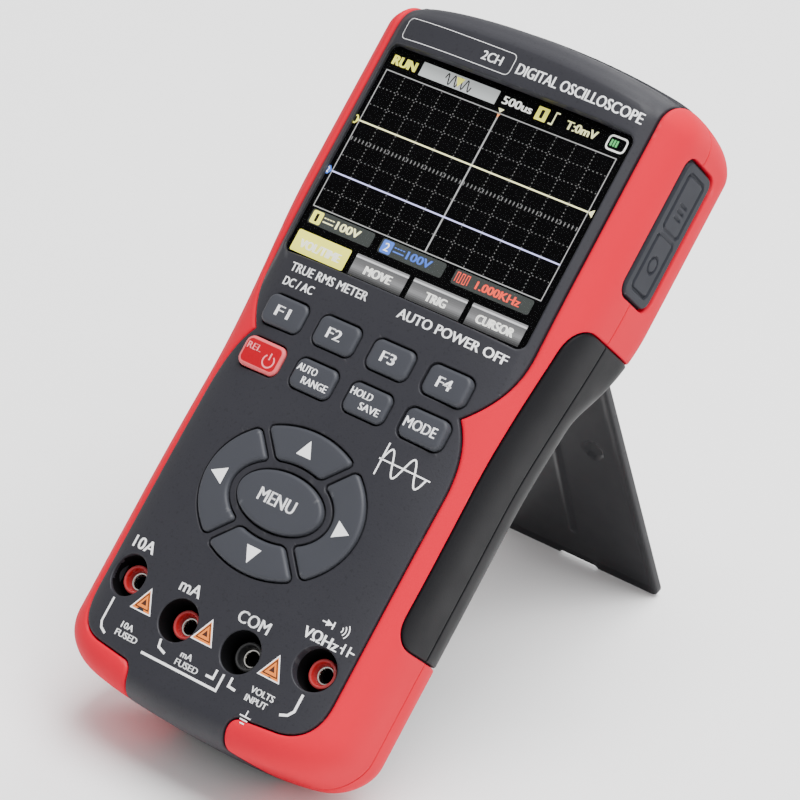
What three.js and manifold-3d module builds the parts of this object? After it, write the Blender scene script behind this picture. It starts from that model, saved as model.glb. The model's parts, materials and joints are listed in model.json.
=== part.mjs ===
// A handheld oscilloscope and multimeter, standing on its bottom edge and its open kickstand.
// Millimetres, +Z up. The meter is drawn lying on its back in its own frame: x to the right,
// y up its length, z out of the front panel. A group then leans it back to its standing pose.
import * as THREE from "three";
import { mergeVertices } from "three/addons/utils/BufferGeometryUtils.js";
import Module from "manifold-3d";

const wasm = await Module();
wasm.setup();

// ---- Driving dimensions -------------------------------------------------------------------

const TOP = 177.2; // the two ends along the length, at mid depth
const BOTTOM = -4.1;
const HALF_WIDTH = 44.3; // at the screen
const HALF_GRIP = 40.9; // at the hand grip
const DEPTH = 40;
const SEAM_Z = -21; // where the front case meets the rear case
const GAP = 0.3; // between pieces that touch
const SKIN = 2; // rubber bumper and grip
const WALL = 4.6; // outside of the bumper to the inside of the case

// The cross-section is a superellipse. Each feature changes between two heights, [from, to].
const WAIST = { from: 72, to: 126 }; // from the grip's width to the screen's
const FRONT_POWER = { low: 4.4, high: 3.6, from: 40, to: 105 };
const BACK_POWER = { low: 2.6, high: 8, from: 97, to: 126 };
const CORNER_RADIUS = { bottom: 10, top: 7 };
const FACE_RADIUS = 6;
const BACK_RADIUS = { bottom: 11, top: 7 };
const TOP_ARCH = { drop: 4.4, bulge: 2.8, from: 126 }; // the top end falls to its corners
const BOTTOM_ARCH = { rise: 5.6, bulge: 0.5, to: 35 }; // and the bottom end rises to them

const PANEL_TOP_HALF = 38; // front panel between the bumpers, above the waist notches
const PANEL_LOW_HALF = 35.2;
const NOTCH = { x: 30, y: 85.7 };
const HOOK = { x: 14.8, tip: 18, y: 4.4 }; // where the bumpers end on the bottom edge
const BACK_HALF = 31; // rear case between the rear bumpers
const GRIP_LOW_Y = 35;
const GRIP_TOP_Y = 117;

const SCREEN = { y: 133, width: 70.1, height: 54.7, top: -3.2, lens: 1.2 };
const DISPLAY = { width: 72.4, height: 61, top: -4.7, thickness: 3.3, room: 0.2 };

const KEY = { width: 11.6, height: 7.4, corner: 2, proud: 0.7, bottom: -6 };
const KEY_FLANGE = { height: 0.7, grow: 0.6 }; // keeps each key in the case
const MENU_PROUD = 1.1;
const KEY_PITCH = 15.8;
const UPPER_ROW_Y = 91.3;
const LOWER_ROW_Y = 80.2;
const KEY_BED = { half: 33, margin: 3, under: -5 }; // underside of the panel over the keys
const NAV = { y: 51.4, outer: [22.2, 17.8], inner: [14.6, 9.4], menu: [12, 6.9], split: 1.1 };
const NAV_SLOPE = Math.tan(THREE.MathUtils.degToRad(47));

const JACKS = { outer: [27.8, 21.6], inner: [9.3, 17.5] };
const JACK = { well: 5.15, sleeve: 6.3, ring: 3.3, bore: 2.75, sunk: 4, wellEnd: -24, foot: -26 };
const CONTACT = { outer: 2.45, bore: 2.05, sunk: 1.2 };

const MEMBRANE = { half: 31, low: 32, high: 98.3, bottom: -8.7, top: -7.9 };
const DOME = { radius: 3, top: -7.3 }; // on the membrane, under each key
const MAIN_BOARD = { half: 31, low: 29, high: 164, top: -9, thickness: 1.6 };
const INPUT_BOARD = { half: 32.6, low: 13.4, high: 52, top: -26.3, thickness: 1.6 };
const BUZZER = { x: 20, y: 152, radius: 6, height: 6 };
const FUSE = { radius: 3.2, half: 16, tenAmp: 45, milliamp: 36 };
const CAVITY_BACK = -33.8;
const FRONT_CUT_Z = -12; // how deep the openings of the front panel are cut

const STAND = { y: 133.4, z: -37.4, length: 113.6, root: 18.3, foot: 25.2, barrel: 2.6, pin: 1.3 };
const STAND_PLATE = { outer: -1.7, inner: 0.5 };
const STAND_RIB = { half: 0.7, fromFoot: 12, fromRoot: 30, height: 0.5 };
const STAND_RECESS = { x: 12.6, fromRoot: 65, radius: 3, depth: 0.8 };
const STAND_NOTCH = { half: 6, depth: 0.9 }; // splits the foot in two
const STAND_ROOM = 0.6; // round the closed kickstand
const PIN_HALF = 23;
const POCKET_Z = -36; // floor of the recess that the closed kickstand lies in
const HINGE_BLOCK = { half: 27, reach: 5, low: -35, high: -30 };
const LEAN = THREE.MathUtils.degToRad(50.8); // the length of the meter above the horizontal

const CELL = { radius: 9.2, low: 56, high: 121, z: -24, capRadius: 3, capHeight: 1.2 };
const DOOR = { half: 13.7, low: 48, high: 123, thickness: 1.4 };
const DOOR_LEDGE = { half: 20, below: 2, above: 6, top: -30 };
const DOOR_SCREW = { y: 51, hole: 1.5, head: 2.4, headHeight: 0.4, tip: -31.5 };
const DOOR_TOP = POCKET_Z + GAP + DOOR.thickness;
const SCREWS = { upper: [26, 168], lower: [21, 9] };
const SCREW = { head: 2.8, shank: 1.45, seat: -34, headHeight: 1.9, tip: -12, drive: 1.3 };
const BOSS = { radius: 3.9, back: -36, front: -5 }; // round each case screw
const FLAP = { y: 146, z: -21.8, length: 34.1, height: 14.2, corner: 2.6, inner: 42.3, outer: 44.2 };
const FLAP_GROOVE = 0.8;
const PORTS = { usb: { y: 152, length: 9, height: 3.3 }, signal: { y: 138, radius: 2.9 } };
const PORT_FACE = 41.5;
const PORT_DEPTH = 8;
const PORT_HOLE = 0.4; // room round each socket
const SIDE_CUT_X = 30; // how deep the openings of the side are cut
const INPUTS = { x: 12, z: -27, radius: 3.2, outer: 174.5, depth: 16, bottom: 6, cut: 12 };
const SOCKET = { wall: 0.9, thinWall: 0.35, pin: 0.5, pinSunk: 1.5 };
const TONGUE = { half: 3.3, thick: 0.35, sunk: 1 };

const OUTER = { around: 28, rings: 20, endRings: 4 }; // facets of the outside of the meter
const INNER = { around: 16, rings: 10, endRings: 2 }; // and of the hollow inside it
const OUTSIDE = 60; // beyond the meter on every side, for cutting shapes
const PAST = 1; // how far a cutting shape runs past what it cuts

// ---- Solids -------------------------------------------------------------------------------

function solid(geometry) {
  const plain = geometry.clone();
  plain.deleteAttribute("normal");
  plain.deleteAttribute("uv");
  const merged = mergeVertices(plain, 1e-4);
  const triVerts = new Uint32Array(merged.index.array);
  const vertProperties = new Float32Array(merged.attributes.position.array);
  return new wasm.Manifold(new wasm.Mesh({ numProp: 3, vertProperties, triVerts }));
}

function geometryOf(body) {
  const mesh = body.getMesh();
  const geometry = new THREE.BufferGeometry();
  geometry.setAttribute("position", new THREE.BufferAttribute(mesh.vertProperties, 3));
  geometry.setIndex(new THREE.BufferAttribute(mesh.triVerts, 1));
  geometry.computeVertexNormals();
  return geometry;
}

function box([x0, x1], [y0, y1], [z0, z1]) {
  const geometry = new THREE.BoxGeometry(x1 - x0, y1 - y0, z1 - z0);
  return solid(geometry.translate((x0 + x1) / 2, (y0 + y1) / 2, (z0 + z1) / 2));
}

// An outline in x and y, swept from z0 to z1.
function prism(outline, z0, z1, curveSegments = 6) {
  const settings = { depth: z1 - z0, bevelEnabled: false, curveSegments };
  return solid(new THREE.ExtrudeGeometry(outline, settings).translate(0, 0, z0));
}

// An outline in y and z, swept from x0 to x1.
function sidePrism(outline, x0, x1, curveSegments = 6) {
  const settings = { depth: x1 - x0, bevelEnabled: false, curveSegments };
  const geometry = new THREE.ExtrudeGeometry(outline, settings).translate(0, 0, x0);
  const turn = new THREE.Matrix4();
  turn.makeBasis(new THREE.Vector3(0, 1, 0), new THREE.Vector3(0, 0, 1), new THREE.Vector3(1, 0, 0));
  return solid(geometry.applyMatrix4(turn));
}

function rodX(radius, [x0, x1], y, z, sides = 20) {
  const geometry = new THREE.CylinderGeometry(radius, radius, x1 - x0, sides);
  return solid(geometry.rotateZ(Math.PI / 2).translate((x0 + x1) / 2, y, z));
}

function rodY(radius, x, [y0, y1], z, sides = 20) {
  const geometry = new THREE.CylinderGeometry(radius, radius, y1 - y0, sides);
  return solid(geometry.translate(x, (y0 + y1) / 2, z));
}

function rodZ(radius, x, y, [z0, z1], sides = 20) {
  const geometry = new THREE.CylinderGeometry(radius, radius, z1 - z0, sides);
  return solid(geometry.rotateX(Math.PI / 2).translate(x, y, (z0 + z1) / 2));
}

// A closed profile of [radius, z] points, turned about the line through x and y along z.
function turned(profile, x, y, sides = 18) {
  const points = [...profile, profile[0]].map(([radius, z]) => new THREE.Vector2(radius, z));
  const geometry = new THREE.LatheGeometry(points, sides).rotateX(Math.PI / 2);
  return solid(geometry.translate(x, y, 0));
}

function outlineOf(points) {
  return new THREE.Shape(points.map(([x, y]) => new THREE.Vector2(x, y)));
}

function roundedRectangle(x, y, width, height, radius) {
  const left = x - width / 2;
  const right = x + width / 2;
  const low = y - height / 2;
  const high = y + height / 2;
  const shape = new THREE.Shape();
  shape.moveTo(left + radius, low);
  shape.lineTo(right - radius, low);
  shape.absarc(right - radius, low + radius, radius, -Math.PI / 2, 0);
  shape.lineTo(right, high - radius);
  shape.absarc(right - radius, high - radius, radius, 0, Math.PI / 2);
  shape.lineTo(left + radius, high);
  shape.absarc(left + radius, high - radius, radius, Math.PI / 2, Math.PI);
  shape.lineTo(left, low + radius);
  shape.absarc(left + radius, low + radius, radius, Math.PI, 1.5 * Math.PI);
  return shape;
}

function ellipse(x, y, [radiusX, radiusY]) {
  return new THREE.Shape().absellipse(x, y, radiusX, radiusY, 0, 2 * Math.PI);
}

// ---- The outer form of the meter ----------------------------------------------------------

const { clamp, lerp, smoothstep } = THREE.MathUtils;

function halfWidthAt(y) {
  return lerp(HALF_GRIP, HALF_WIDTH, smoothstep(y, WAIST.from, WAIST.to));
}

function powerAt(y, { low, high, from, to }) {
  return lerp(low, high, smoothstep(y, from, to));
}

// Height of the front surface over a point of the panel.
function frontZ(x, y) {
  const across = Math.abs(x) / halfWidthAt(y);
  const exponent = powerAt(y, FRONT_POWER);
  return SEAM_Z - SEAM_Z * (1 - across ** exponent) ** (1 / exponent);
}

// How far a quarter-round end pulls the surface in, at a distance from the end.
function endPull(distance, radius) {
  const left = clamp(1 - distance / radius, 0, 1);
  return radius * (1 - Math.sqrt(1 - left * left));
}

// Height of a cross-section: close together round each end, and even between the ends.
function ringY(ring, inset, { rings, endRings }) {
  const isTop = ring > rings / 2;
  const radius = isTop ? CORNER_RADIUS.top : CORNER_RADIUS.bottom;
  const fromEnd = isTop ? rings - ring : ring;
  const half = (TOP - BOTTOM) / 2 - inset;
  let distance = radius * (1 - Math.cos(((fromEnd / endRings) * Math.PI) / 2));
  if (fromEnd > endRings) {
    distance = lerp(radius, half, (fromEnd - endRings) / (rings / 2 - endRings));
  }
  return isTop ? TOP - inset - distance : BOTTOM + inset + distance;
}

// Both ends are arched from side to side and from front to back.
function archedY(x, y, z) {
  const across = (x / HALF_WIDTH) ** 2;
  const deep = ((z - SEAM_Z) / SEAM_Z) ** 2;
  const nearTop = smoothstep(y, TOP_ARCH.from, TOP);
  const nearBottom = 1 - smoothstep(y, BOTTOM, BOTTOM_ARCH.to);
  const drop = nearTop * (TOP_ARCH.drop * across + TOP_ARCH.bulge * deep);
  const rise = nearBottom * (BOTTOM_ARCH.rise * across + BOTTOM_ARCH.bulge * deep);
  return y - drop + rise;
}

function power(value, exponent) {
  return Math.sign(value) * Math.abs(value) ** exponent;
}

// The closed outer form, drawn in from the true outside by inset. It is a cylinder whose rings
// are reshaped to the meter's cross-sections.
function meterForm(inset, detail = OUTER) {
  const form = new THREE.CylinderGeometry(1, 1, 1, detail.around, detail.rings);
  const position = form.getAttribute("position");
  for (let i = 0; i < position.count; i++) {
    const ring = Math.round((position.getY(i) + 0.5) * detail.rings);
    const y = ringY(ring, inset, detail);
    const fromBottom = y - BOTTOM - inset;
    const fromTop = TOP - inset - y;
    const fromEnd = Math.min(fromBottom, fromTop);
    const end = fromTop < fromBottom ? "top" : "bottom";
    const reach = Math.hypot(position.getX(i), position.getZ(i));
    const angle = Math.atan2(position.getZ(i), position.getX(i));
    const isFront = Math.sin(angle) >= 0;
    const exponent = 2 / powerAt(y, isFront ? FRONT_POWER : BACK_POWER);
    const halfWidth = halfWidthAt(y) - inset - endPull(fromEnd, CORNER_RADIUS[end]);
    const fullHeight = isFront ? -SEAM_Z : DEPTH + SEAM_Z;
    const endRadius = isFront ? FACE_RADIUS : BACK_RADIUS[end];
    const height = fullHeight - inset - endPull(fromEnd, endRadius);
    const x = reach * halfWidth * power(Math.cos(angle), exponent);
    const z = SEAM_Z + reach * height * power(Math.sin(angle), exponent);
    position.setXYZ(i, x, archedY(x, y, z), z);
  }
  return solid(form);
}

// The outline of the front panel between the bumpers, drawn in by inset.
function panelOutline(inset) {
  const top = PANEL_TOP_HALF - inset;
  const low = PANEL_LOW_HALF - inset;
  const notch = NOTCH.x - inset;
  const { x, tip, y } = HOOK;
  const right = new THREE.Path();
  right.moveTo(x - inset, -OUTSIDE);
  right.lineTo(x - inset, inset);
  right.quadraticCurveTo(x - inset, y + inset, tip, y + inset);
  right.lineTo(low - 8, y + 1 + inset);
  right.quadraticCurveTo(low, y + 2.5 + inset, low, y + 12);
  right.lineTo(low, NOTCH.y - 18);
  right.quadraticCurveTo(low, NOTCH.y - 6, notch, NOTCH.y);
  right.quadraticCurveTo(top, NOTCH.y + 9, top, NOTCH.y + 20);
  right.lineTo(top, TOP + OUTSIDE);
  const points = right.getPoints(5);
  const mirrored = points.map((point) => new THREE.Vector2(-point.x, point.y)).reverse();
  return new THREE.Shape([...points, ...mirrored]);
}

// The outline of the bare rear case between the rear bumpers, drawn in by inset.
function backOutline(inset) {
  const wide = PANEL_TOP_HALF - inset;
  const half = BACK_HALF - inset;
  const hook = HOOK.x - inset;
  const edge = HOOK.y + inset;
  const right = [
    [hook, -OUTSIDE],
    [hook, edge],
    [half - 5, edge],
    [half, edge + 7],
    [half, TOP - 20],
    [wide, TOP - 9],
    [wide, TOP + OUTSIDE],
  ];
  const left = right.map(([x, y]) => [-x, y]).reverse();
  return outlineOf([...right, ...left]);
}

// The outline of the grips in y and z, wrapping back from the edge of the front panel.
function gripOutline(inset) {
  const low = GRIP_LOW_Y + inset;
  const high = GRIP_TOP_Y - inset;
  const lowFront = -7.2 - inset;
  const highFront = -8.2 - inset;
  const shape = new THREE.Shape();
  shape.moveTo(low, -OUTSIDE);
  shape.lineTo(high, -OUTSIDE);
  shape.lineTo(high, highFront - 7);
  shape.quadraticCurveTo(high, highFront, high - 8, highFront);
  shape.lineTo(low + 6, lowFront);
  shape.quadraticCurveTo(low, lowFront, low, lowFront - 6);
  return shape;
}

const outerForm = meterForm(0);
const everywhere = [-OUTSIDE, OUTSIDE];
const along = [-OUTSIDE, TOP + OUTSIDE];
const frontHalf = box(everywhere, along, [SEAM_Z + GAP / 2, OUTSIDE]);
const backHalf = box(everywhere, along, [-DEPTH + GAP, SEAM_Z - GAP / 2]);

// ---- Materials ----------------------------------------------------------------------------

function matte(color, roughness) {
  return () => new THREE.MeshStandardMaterial({ color, roughness, metalness: 0 });
}

function metal(color, roughness) {
  return () => new THREE.MeshStandardMaterial({ color, roughness, metalness: 1 });
}

const charcoal = matte(0x3a3b42, 0.55);
const redRubber = matte(0xe2303c, 0.5);
const blackRubber = matte(0x303136, 0.75);
const keyRubber = matte(0x4c4f58, 0.65);
const redKey = matte(0xd01f2a, 0.4);
const redPlastic = matte(0xa5141c, 0.35);
const blackPlastic = matte(0x17171a, 0.4);
const darkGlass = matte(0x08090b, 0.1);
const greyPlastic = matte(0x8c8f94, 0.5);
const circuitGreen = matte(0x1e5b38, 0.5);
const ceramic = matte(0xe8e4da, 0.6);
const cellWrap = matte(0x2f6fb0, 0.35);
const nickel = metal(0xc9c6bf, 0.25);
const steel = metal(0x8f9296, 0.35);

// ---- The meter, lying on its back ---------------------------------------------------------

const meter = new THREE.Group();
const SIDES = [["left", -1], ["right", 1]];

function addPiece(group, name, body, material) {
  const mesh = new THREE.Mesh(geometryOf(body), material());
  mesh.name = name;
  group.add(mesh);
}

function sideOf(sign) {
  return box(sign > 0 ? [0, OUTSIDE] : [-OUTSIDE, 0], along, everywhere);
}

// ---- Keys ---------------------------------------------------------------------------------

function keyOutline(x, y, grow) {
  const corner = KEY.corner + grow;
  return roundedRectangle(x, y, KEY.width + 2 * grow, KEY.height + 2 * grow, corner);
}

// One arrow key of the ring. The direction is a unit step to the side that the key is on.
function arcKeyOutline([right, up], grow) {
  const split = (NAV.split - grow) * Math.hypot(1, NAV_SLOPE);
  const far = OUTSIDE;
  const across = up ? far : far * NAV_SLOPE;
  const depth = up ? far * NAV_SLOPE : far;
  const start = up ? split : split / NAV_SLOPE;
  const wedge = [[0, start], [across, start + depth], [-across, start + depth]];
  const turn = up ? Math.sign(up) : -Math.sign(right);
  const placed = wedge.map(([x, y]) => (up ? [x, y * turn] : [y * -turn, x]));
  return outlineOf(placed.map(([x, y]) => [x, y + NAV.y]));
}

function arcKey(direction, z0, z1, grow) {
  const outer = prism(ellipse(0, NAV.y, NAV.outer.map((r) => r + grow)), z0, z1, 9);
  const inner = prism(ellipse(0, NAV.y, NAV.inner.map((r) => r - grow)), z0 - 1, z1 + 1, 10);
  const wedge = prism(arcKeyOutline(direction, grow), z0 - 1, z1 + 1);
  return outer.subtract(inner).intersect(wedge);
}

function menuKey(z0, z1, grow) {
  return prism(ellipse(0, NAV.y, NAV.menu.map((r) => r + grow)), z0, z1, 10);
}

const KEY_ROWS = [
  [UPPER_ROW_Y, ["key_f1", "key_f2", "key_f3", "key_f4"]],
  [LOWER_ROW_Y, ["key_power", "key_auto_range", "key_hold", "key_mode"]],
];
const ARC_KEYS = [
  ["key_up", [0, 1]],
  ["key_down", [0, -1]],
  ["key_left", [-1, 0]],
  ["key_right", [1, 0]],
];

// Each key is its shape as a function of its height and of how far it is drawn out.
function listKeys() {
  const keys = [];
  for (const [y, names] of KEY_ROWS) {
    names.forEach((name, i) => {
      const x = (i - 1.5) * KEY_PITCH;
      const shape = (z0, z1, grow) => prism(keyOutline(x, y, grow), z0, z1, 2);
      keys.push({ name, shape, x, y, material: name === "key_power" ? redKey : keyRubber });
    });
  }
  for (const [name, direction] of ARC_KEYS) {
    const shape = (z0, z1, grow) => arcKey(direction, z0, z1, grow);
    const middle = direction.map((step, i) => (step * (NAV.outer[i] + NAV.inner[i])) / 2);
    keys.push({ name, shape, x: middle[0], y: NAV.y + middle[1], material: keyRubber });
  }
  keys.push({ name: "key_menu", shape: menuKey, x: 0, y: NAV.y, material: keyRubber });
  return keys;
}

const KEYS = listKeys();

function addKeys() {
  for (const key of KEYS) {
    const top = frontZ(key.x, key.y) + (key.name === "key_menu" ? MENU_PROUD : KEY.proud);
    const cap = key.shape(KEY.bottom, top, 0);
    const flange = key.shape(KEY.bottom, KEY.bottom + KEY_FLANGE.height, KEY_FLANGE.grow);
    addPiece(meter, key.name, cap.add(flange), key.material);
  }
}

// ---- Front case ---------------------------------------------------------------------------

function screenOutline(grow) {
  const width = SCREEN.width + 2 * grow;
  const height = SCREEN.height + 2 * grow;
  return roundedRectangle(0, SCREEN.y, width, height, 2);
}

function jackPlaces() {
  const [outerX, outerY] = JACKS.outer;
  const [innerX, innerY] = JACKS.inner;
  return [
    { name: "10a", x: -outerX, y: outerY, material: redPlastic },
    { name: "ma", x: -innerX, y: innerY, material: redPlastic },
    { name: "com", x: innerX, y: innerY, material: blackPlastic },
    { name: "volt", x: outerX, y: outerY, material: redPlastic },
  ];
}

function screwPlaces() {
  const places = [];
  for (const [height, [x, y]] of Object.entries(SCREWS)) {
    for (const [side, sign] of SIDES) places.push({ name: `${height}_${side}`, x: sign * x, y });
  }
  return places;
}

const innerForm = meterForm(WALL, INNER);
const caseForm = meterForm(SKIN + GAP);

function makeFrontCase() {
  let shell = outerForm.intersect(prism(panelOutline(GAP / 2), SEAM_Z, OUTSIDE));
  shell = shell.add(caseForm).subtract(innerForm);
  const bed = [NAV.y - NAV.outer[1] - KEY_BED.margin, UPPER_ROW_Y + KEY.height];
  const bedLevels = [FRONT_CUT_Z, KEY_BED.under];
  shell = shell.subtract(box([-KEY_BED.half, KEY_BED.half], bed, bedLevels));
  const half = DISPLAY.width / 2 + GAP;
  const rows = [SCREEN.y - DISPLAY.height / 2 - GAP, SCREEN.y + DISPLAY.height / 2 + GAP];
  shell = shell.subtract(box([-half, half], rows, [FRONT_CUT_Z, DISPLAY.top + DISPLAY.room]));
  for (const { x, y } of screwPlaces()) {
    shell = shell.add(rodZ(BOSS.radius, x, y, [SEAM_Z, BOSS.front], 14).intersect(caseForm));
    const thread = [SEAM_Z - PAST, SCREW.tip + PAST];
    shell = shell.subtract(rodZ(SCREW.shank + GAP, x, y, thread, 10));
  }
  for (const { x, y } of jackPlaces()) {
    shell = shell.add(rodZ(JACK.sleeve, x, y, [JACK.wellEnd, 0], 20).intersect(outerForm));
    shell = shell.subtract(rodZ(JACK.well, x, y, [JACK.wellEnd - PAST, OUTSIDE], 20));
  }
  shell = shell.intersect(box(everywhere, along, [JACK.wellEnd, OUTSIDE]));
  shell = shell.subtract(prism(screenOutline(GAP), FRONT_CUT_Z, OUTSIDE, 4));
  for (const key of KEYS) shell = shell.subtract(key.shape(FRONT_CUT_Z, OUTSIDE, GAP));
  return shell.subtract(portHoles());
}

// The jack sleeves reach below the seam, so only the rest of the shell ends at it.
function trimFrontCase(shell) {
  let kept = frontHalf;
  for (const { x, y } of jackPlaces()) {
    kept = kept.add(rodZ(JACK.sleeve + GAP / 2, x, y, everywhere));
  }
  return shell.intersect(kept);
}

// ---- Rubber skins -------------------------------------------------------------------------

const skin = outerForm.subtract(meterForm(SKIN));

function flapOutline(grow) {
  const length = FLAP.length + 2 * grow;
  const height = FLAP.height + 2 * grow;
  return roundedRectangle(FLAP.y, FLAP.z, length, height, FLAP.corner + grow);
}

function addSkins() {
  const panel = prism(panelOutline(-GAP / 2), SEAM_Z - PAST, OUTSIDE);
  const back = prism(backOutline(-GAP / 2), -OUTSIDE, SEAM_Z + PAST);
  const flapWell = sidePrism(flapOutline(FLAP_GROOVE), SIDE_CUT_X, OUTSIDE);
  const gripZone = sidePrism(gripOutline(0), -OUTSIDE, OUTSIDE);
  const bumperZone = sidePrism(gripOutline(-GAP), -OUTSIDE, OUTSIDE);
  const upper = box(everywhere, [GRIP_LOW_Y + PAST, TOP + OUTSIDE], everywhere);
  const lower = box(everywhere, [-OUTSIDE, GRIP_LOW_Y + PAST], everywhere);
  const frontSkin = skin.intersect(frontHalf).subtract(panel);
  const backSkin = skin.intersect(backHalf).subtract(back);
  const frontBumper = frontSkin.subtract(bumperZone).subtract(flapWell);
  const backBumper = backSkin.subtract(bumperZone).subtract(flapWell);
  for (const [side, sign] of SIDES) {
    const half = sideOf(sign);
    addPiece(meter, `front_bumper_${side}`, frontBumper.intersect(half), redRubber);
    const ends = backBumper.intersect(half);
    addPiece(meter, `rear_bumper_upper_${side}`, ends.intersect(upper), redRubber);
    addPiece(meter, `rear_bumper_lower_${side}`, ends.intersect(lower), redRubber);
    const frontGrip = frontSkin.intersect(gripZone).intersect(half);
    const rearGrip = backSkin.intersect(gripZone).intersect(half);
    addPiece(meter, `front_grip_${side}`, frontGrip, blackRubber);
    addPiece(meter, `rear_grip_${side}`, rearGrip, blackRubber);
  }
}

// ---- Rear case ----------------------------------------------------------------------------

function portHoles() {
  const { usb, signal } = PORTS;
  const rows = [usb.y - usb.length / 2 - PORT_HOLE, usb.y + usb.length / 2 + PORT_HOLE];
  const levels = [-usb.height / 2 - PORT_HOLE, usb.height / 2 + PORT_HOLE];
  const reach = [SIDE_CUT_X, OUTSIDE];
  const usbHole = box(reach, rows, levels.map((z) => z + FLAP.z));
  const signalHole = rodX(signal.radius + PORT_HOLE, reach, signal.y, FLAP.z);
  return usbHole.add(signalHole);
}

// The outline of the closed kickstand in the rear case, drawn out by grow.
function standOutline(grow, top) {
  const foot = STAND.y - STAND.length - grow;
  const root = STAND.root + grow;
  const wide = STAND.foot + grow;
  return outlineOf([[-wide, foot], [wide, foot], [root, top], [-root, top]]);
}

function makeRearCase() {
  let shell = outerForm.intersect(prism(backOutline(GAP / 2), -OUTSIDE, SEAM_Z));
  const room = innerForm.intersect(box(everywhere, along, [CAVITY_BACK, OUTSIDE]));
  shell = shell.add(caseForm).subtract(room).intersect(backHalf);
  const { half: blockHalf, reach: blockReach, low: blockLow, high: blockHigh } = HINGE_BLOCK;
  const blockRows = [STAND.y - blockReach, STAND.y + blockReach];
  shell = shell.add(box([-blockHalf, blockHalf], blockRows, [blockLow, blockHigh]));
  for (const { x, y } of screwPlaces()) {
    const post = rodZ(BOSS.radius, x, y, [BOSS.back, SEAM_Z - GAP / 2], 14);
    shell = shell.add(post.intersect(caseForm));
    shell = shell.subtract(rodZ(SCREW.head + GAP, x, y, [-OUTSIDE, SCREW.seat], 14));
    shell = shell.subtract(rodZ(SCREW.shank + GAP, x, y, [-OUTSIDE, 0], 10));
  }
  shell = shell.subtract(prism(standOutline(STAND_ROOM, STAND.y), -OUTSIDE, POCKET_Z));
  const barrelRoom = STAND.barrel + GAP;
  const barrelHalf = STAND.root + STAND_ROOM;
  shell = shell.subtract(rodX(barrelRoom, [-barrelHalf, barrelHalf], STAND.y, STAND.z));
  const mouth = [STAND.y - barrelRoom, STAND.y + barrelRoom];
  shell = shell.subtract(box([-barrelHalf, barrelHalf], mouth, [-OUTSIDE, STAND.z]));
  const pinHole = [-PIN_HALF - PAST, PIN_HALF + PAST];
  shell = shell.subtract(rodX(STAND.pin + GAP, pinHole, STAND.y, STAND.z, 12));
  const doorHalf = DOOR.half + GAP;
  const doorRows = [DOOR.low - GAP, DOOR.high + GAP];
  shell = shell.subtract(box([-doorHalf, doorHalf], doorRows, [-OUTSIDE, CAVITY_BACK + PAST]));
  const ledgeRows = [DOOR.low - DOOR_LEDGE.below, DOOR.low + DOOR_LEDGE.above];
  const ledgeLevels = [DOOR_TOP + GAP, DOOR_LEDGE.top];
  shell = shell.add(box([-DOOR_LEDGE.half, DOOR_LEDGE.half], ledgeRows, ledgeLevels));
  shell = shell.subtract(rodZ(DOOR_SCREW.hole, 0, DOOR_SCREW.y, [-OUTSIDE, DOOR_LEDGE.top - PAST], 10));
  for (const [, sign] of SIDES) {
    const reach = [TOP - INPUTS.cut, TOP + OUTSIDE];
    shell = shell.subtract(rodY(INPUTS.radius + PORT_HOLE, sign * INPUTS.x, reach, INPUTS.z));
  }
  for (const { x, y } of jackPlaces()) {
    shell = shell.subtract(rodZ(JACK.sleeve + GAP, x, y, [JACK.foot, OUTSIDE], 20));
  }
  return shell.subtract(portHoles());
}

// ---- Pieces inside ------------------------------------------------------------------------

function addScreen() {
  const lensBottom = SCREEN.top - SCREEN.lens;
  addPiece(meter, "lcd_lens", prism(screenOutline(0), lensBottom, SCREEN.top, 4), darkGlass);
  const half = DISPLAY.width / 2;
  const rows = [SCREEN.y - DISPLAY.height / 2, SCREEN.y + DISPLAY.height / 2];
  const levels = [DISPLAY.top - DISPLAY.thickness, DISPLAY.top];
  addPiece(meter, "lcd_module", box([-half, half], rows, levels), greyPlastic);
}

function addBoards() {
  const { half: sheetHalf, low: sheetLow, high: sheetHigh, bottom: sheetBottom } = MEMBRANE;
  const sheetLevels = [sheetBottom, MEMBRANE.top];
  let membrane = box([-sheetHalf, sheetHalf], [sheetLow, sheetHigh], sheetLevels);
  for (const { x, y } of KEYS) {
    membrane = membrane.add(rodZ(DOME.radius, x, y, [sheetBottom + GAP, DOME.top], 8));
  }
  addPiece(meter, "keypad_membrane", membrane, greyPlastic);
  for (const [name, board] of [["main_board", MAIN_BOARD], ["input_board", INPUT_BOARD]]) {
    const { half, low, high, top, thickness } = board;
    addPiece(meter, name, box([-half, half], [low, high], [top - thickness, top]), circuitGreen);
  }
  const under = MAIN_BOARD.top - MAIN_BOARD.thickness - GAP;
  const buzzer = rodZ(BUZZER.radius, BUZZER.x, BUZZER.y, [under - BUZZER.height, under]);
  addPiece(meter, "buzzer", buzzer, blackPlastic);
  const level = INPUT_BOARD.top + GAP + FUSE.radius;
  const length = [-FUSE.half, FUSE.half];
  addPiece(meter, "fuse_10a", rodX(FUSE.radius, length, FUSE.tenAmp, level, 14), ceramic);
  addPiece(meter, "fuse_ma", rodX(FUSE.radius, length, FUSE.milliamp, level, 14), ceramic);
}

function addJacks() {
  const { foot, wellEnd, ring, bore, sleeve } = JACK;
  for (const { name, x, y, material } of jackPlaces()) {
    const top = frontZ(x, y) - JACK.sunk;
    const flange = wellEnd - GAP;
    const base = [[bore, foot], [sleeve, foot], [sleeve, flange], [ring, flange]];
    const post = [...base, [ring, top], [bore, top]];
    addPiece(meter, `jack_${name}`, turned(post, x, y), material);
    const { outer, bore: hole, sunk } = CONTACT;
    const tube = [[hole, foot], [outer, foot], [outer, top - sunk], [hole, top - sunk]];
    addPiece(meter, `contact_${name}`, turned(tube, x, y), nickel);
  }
}

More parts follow.
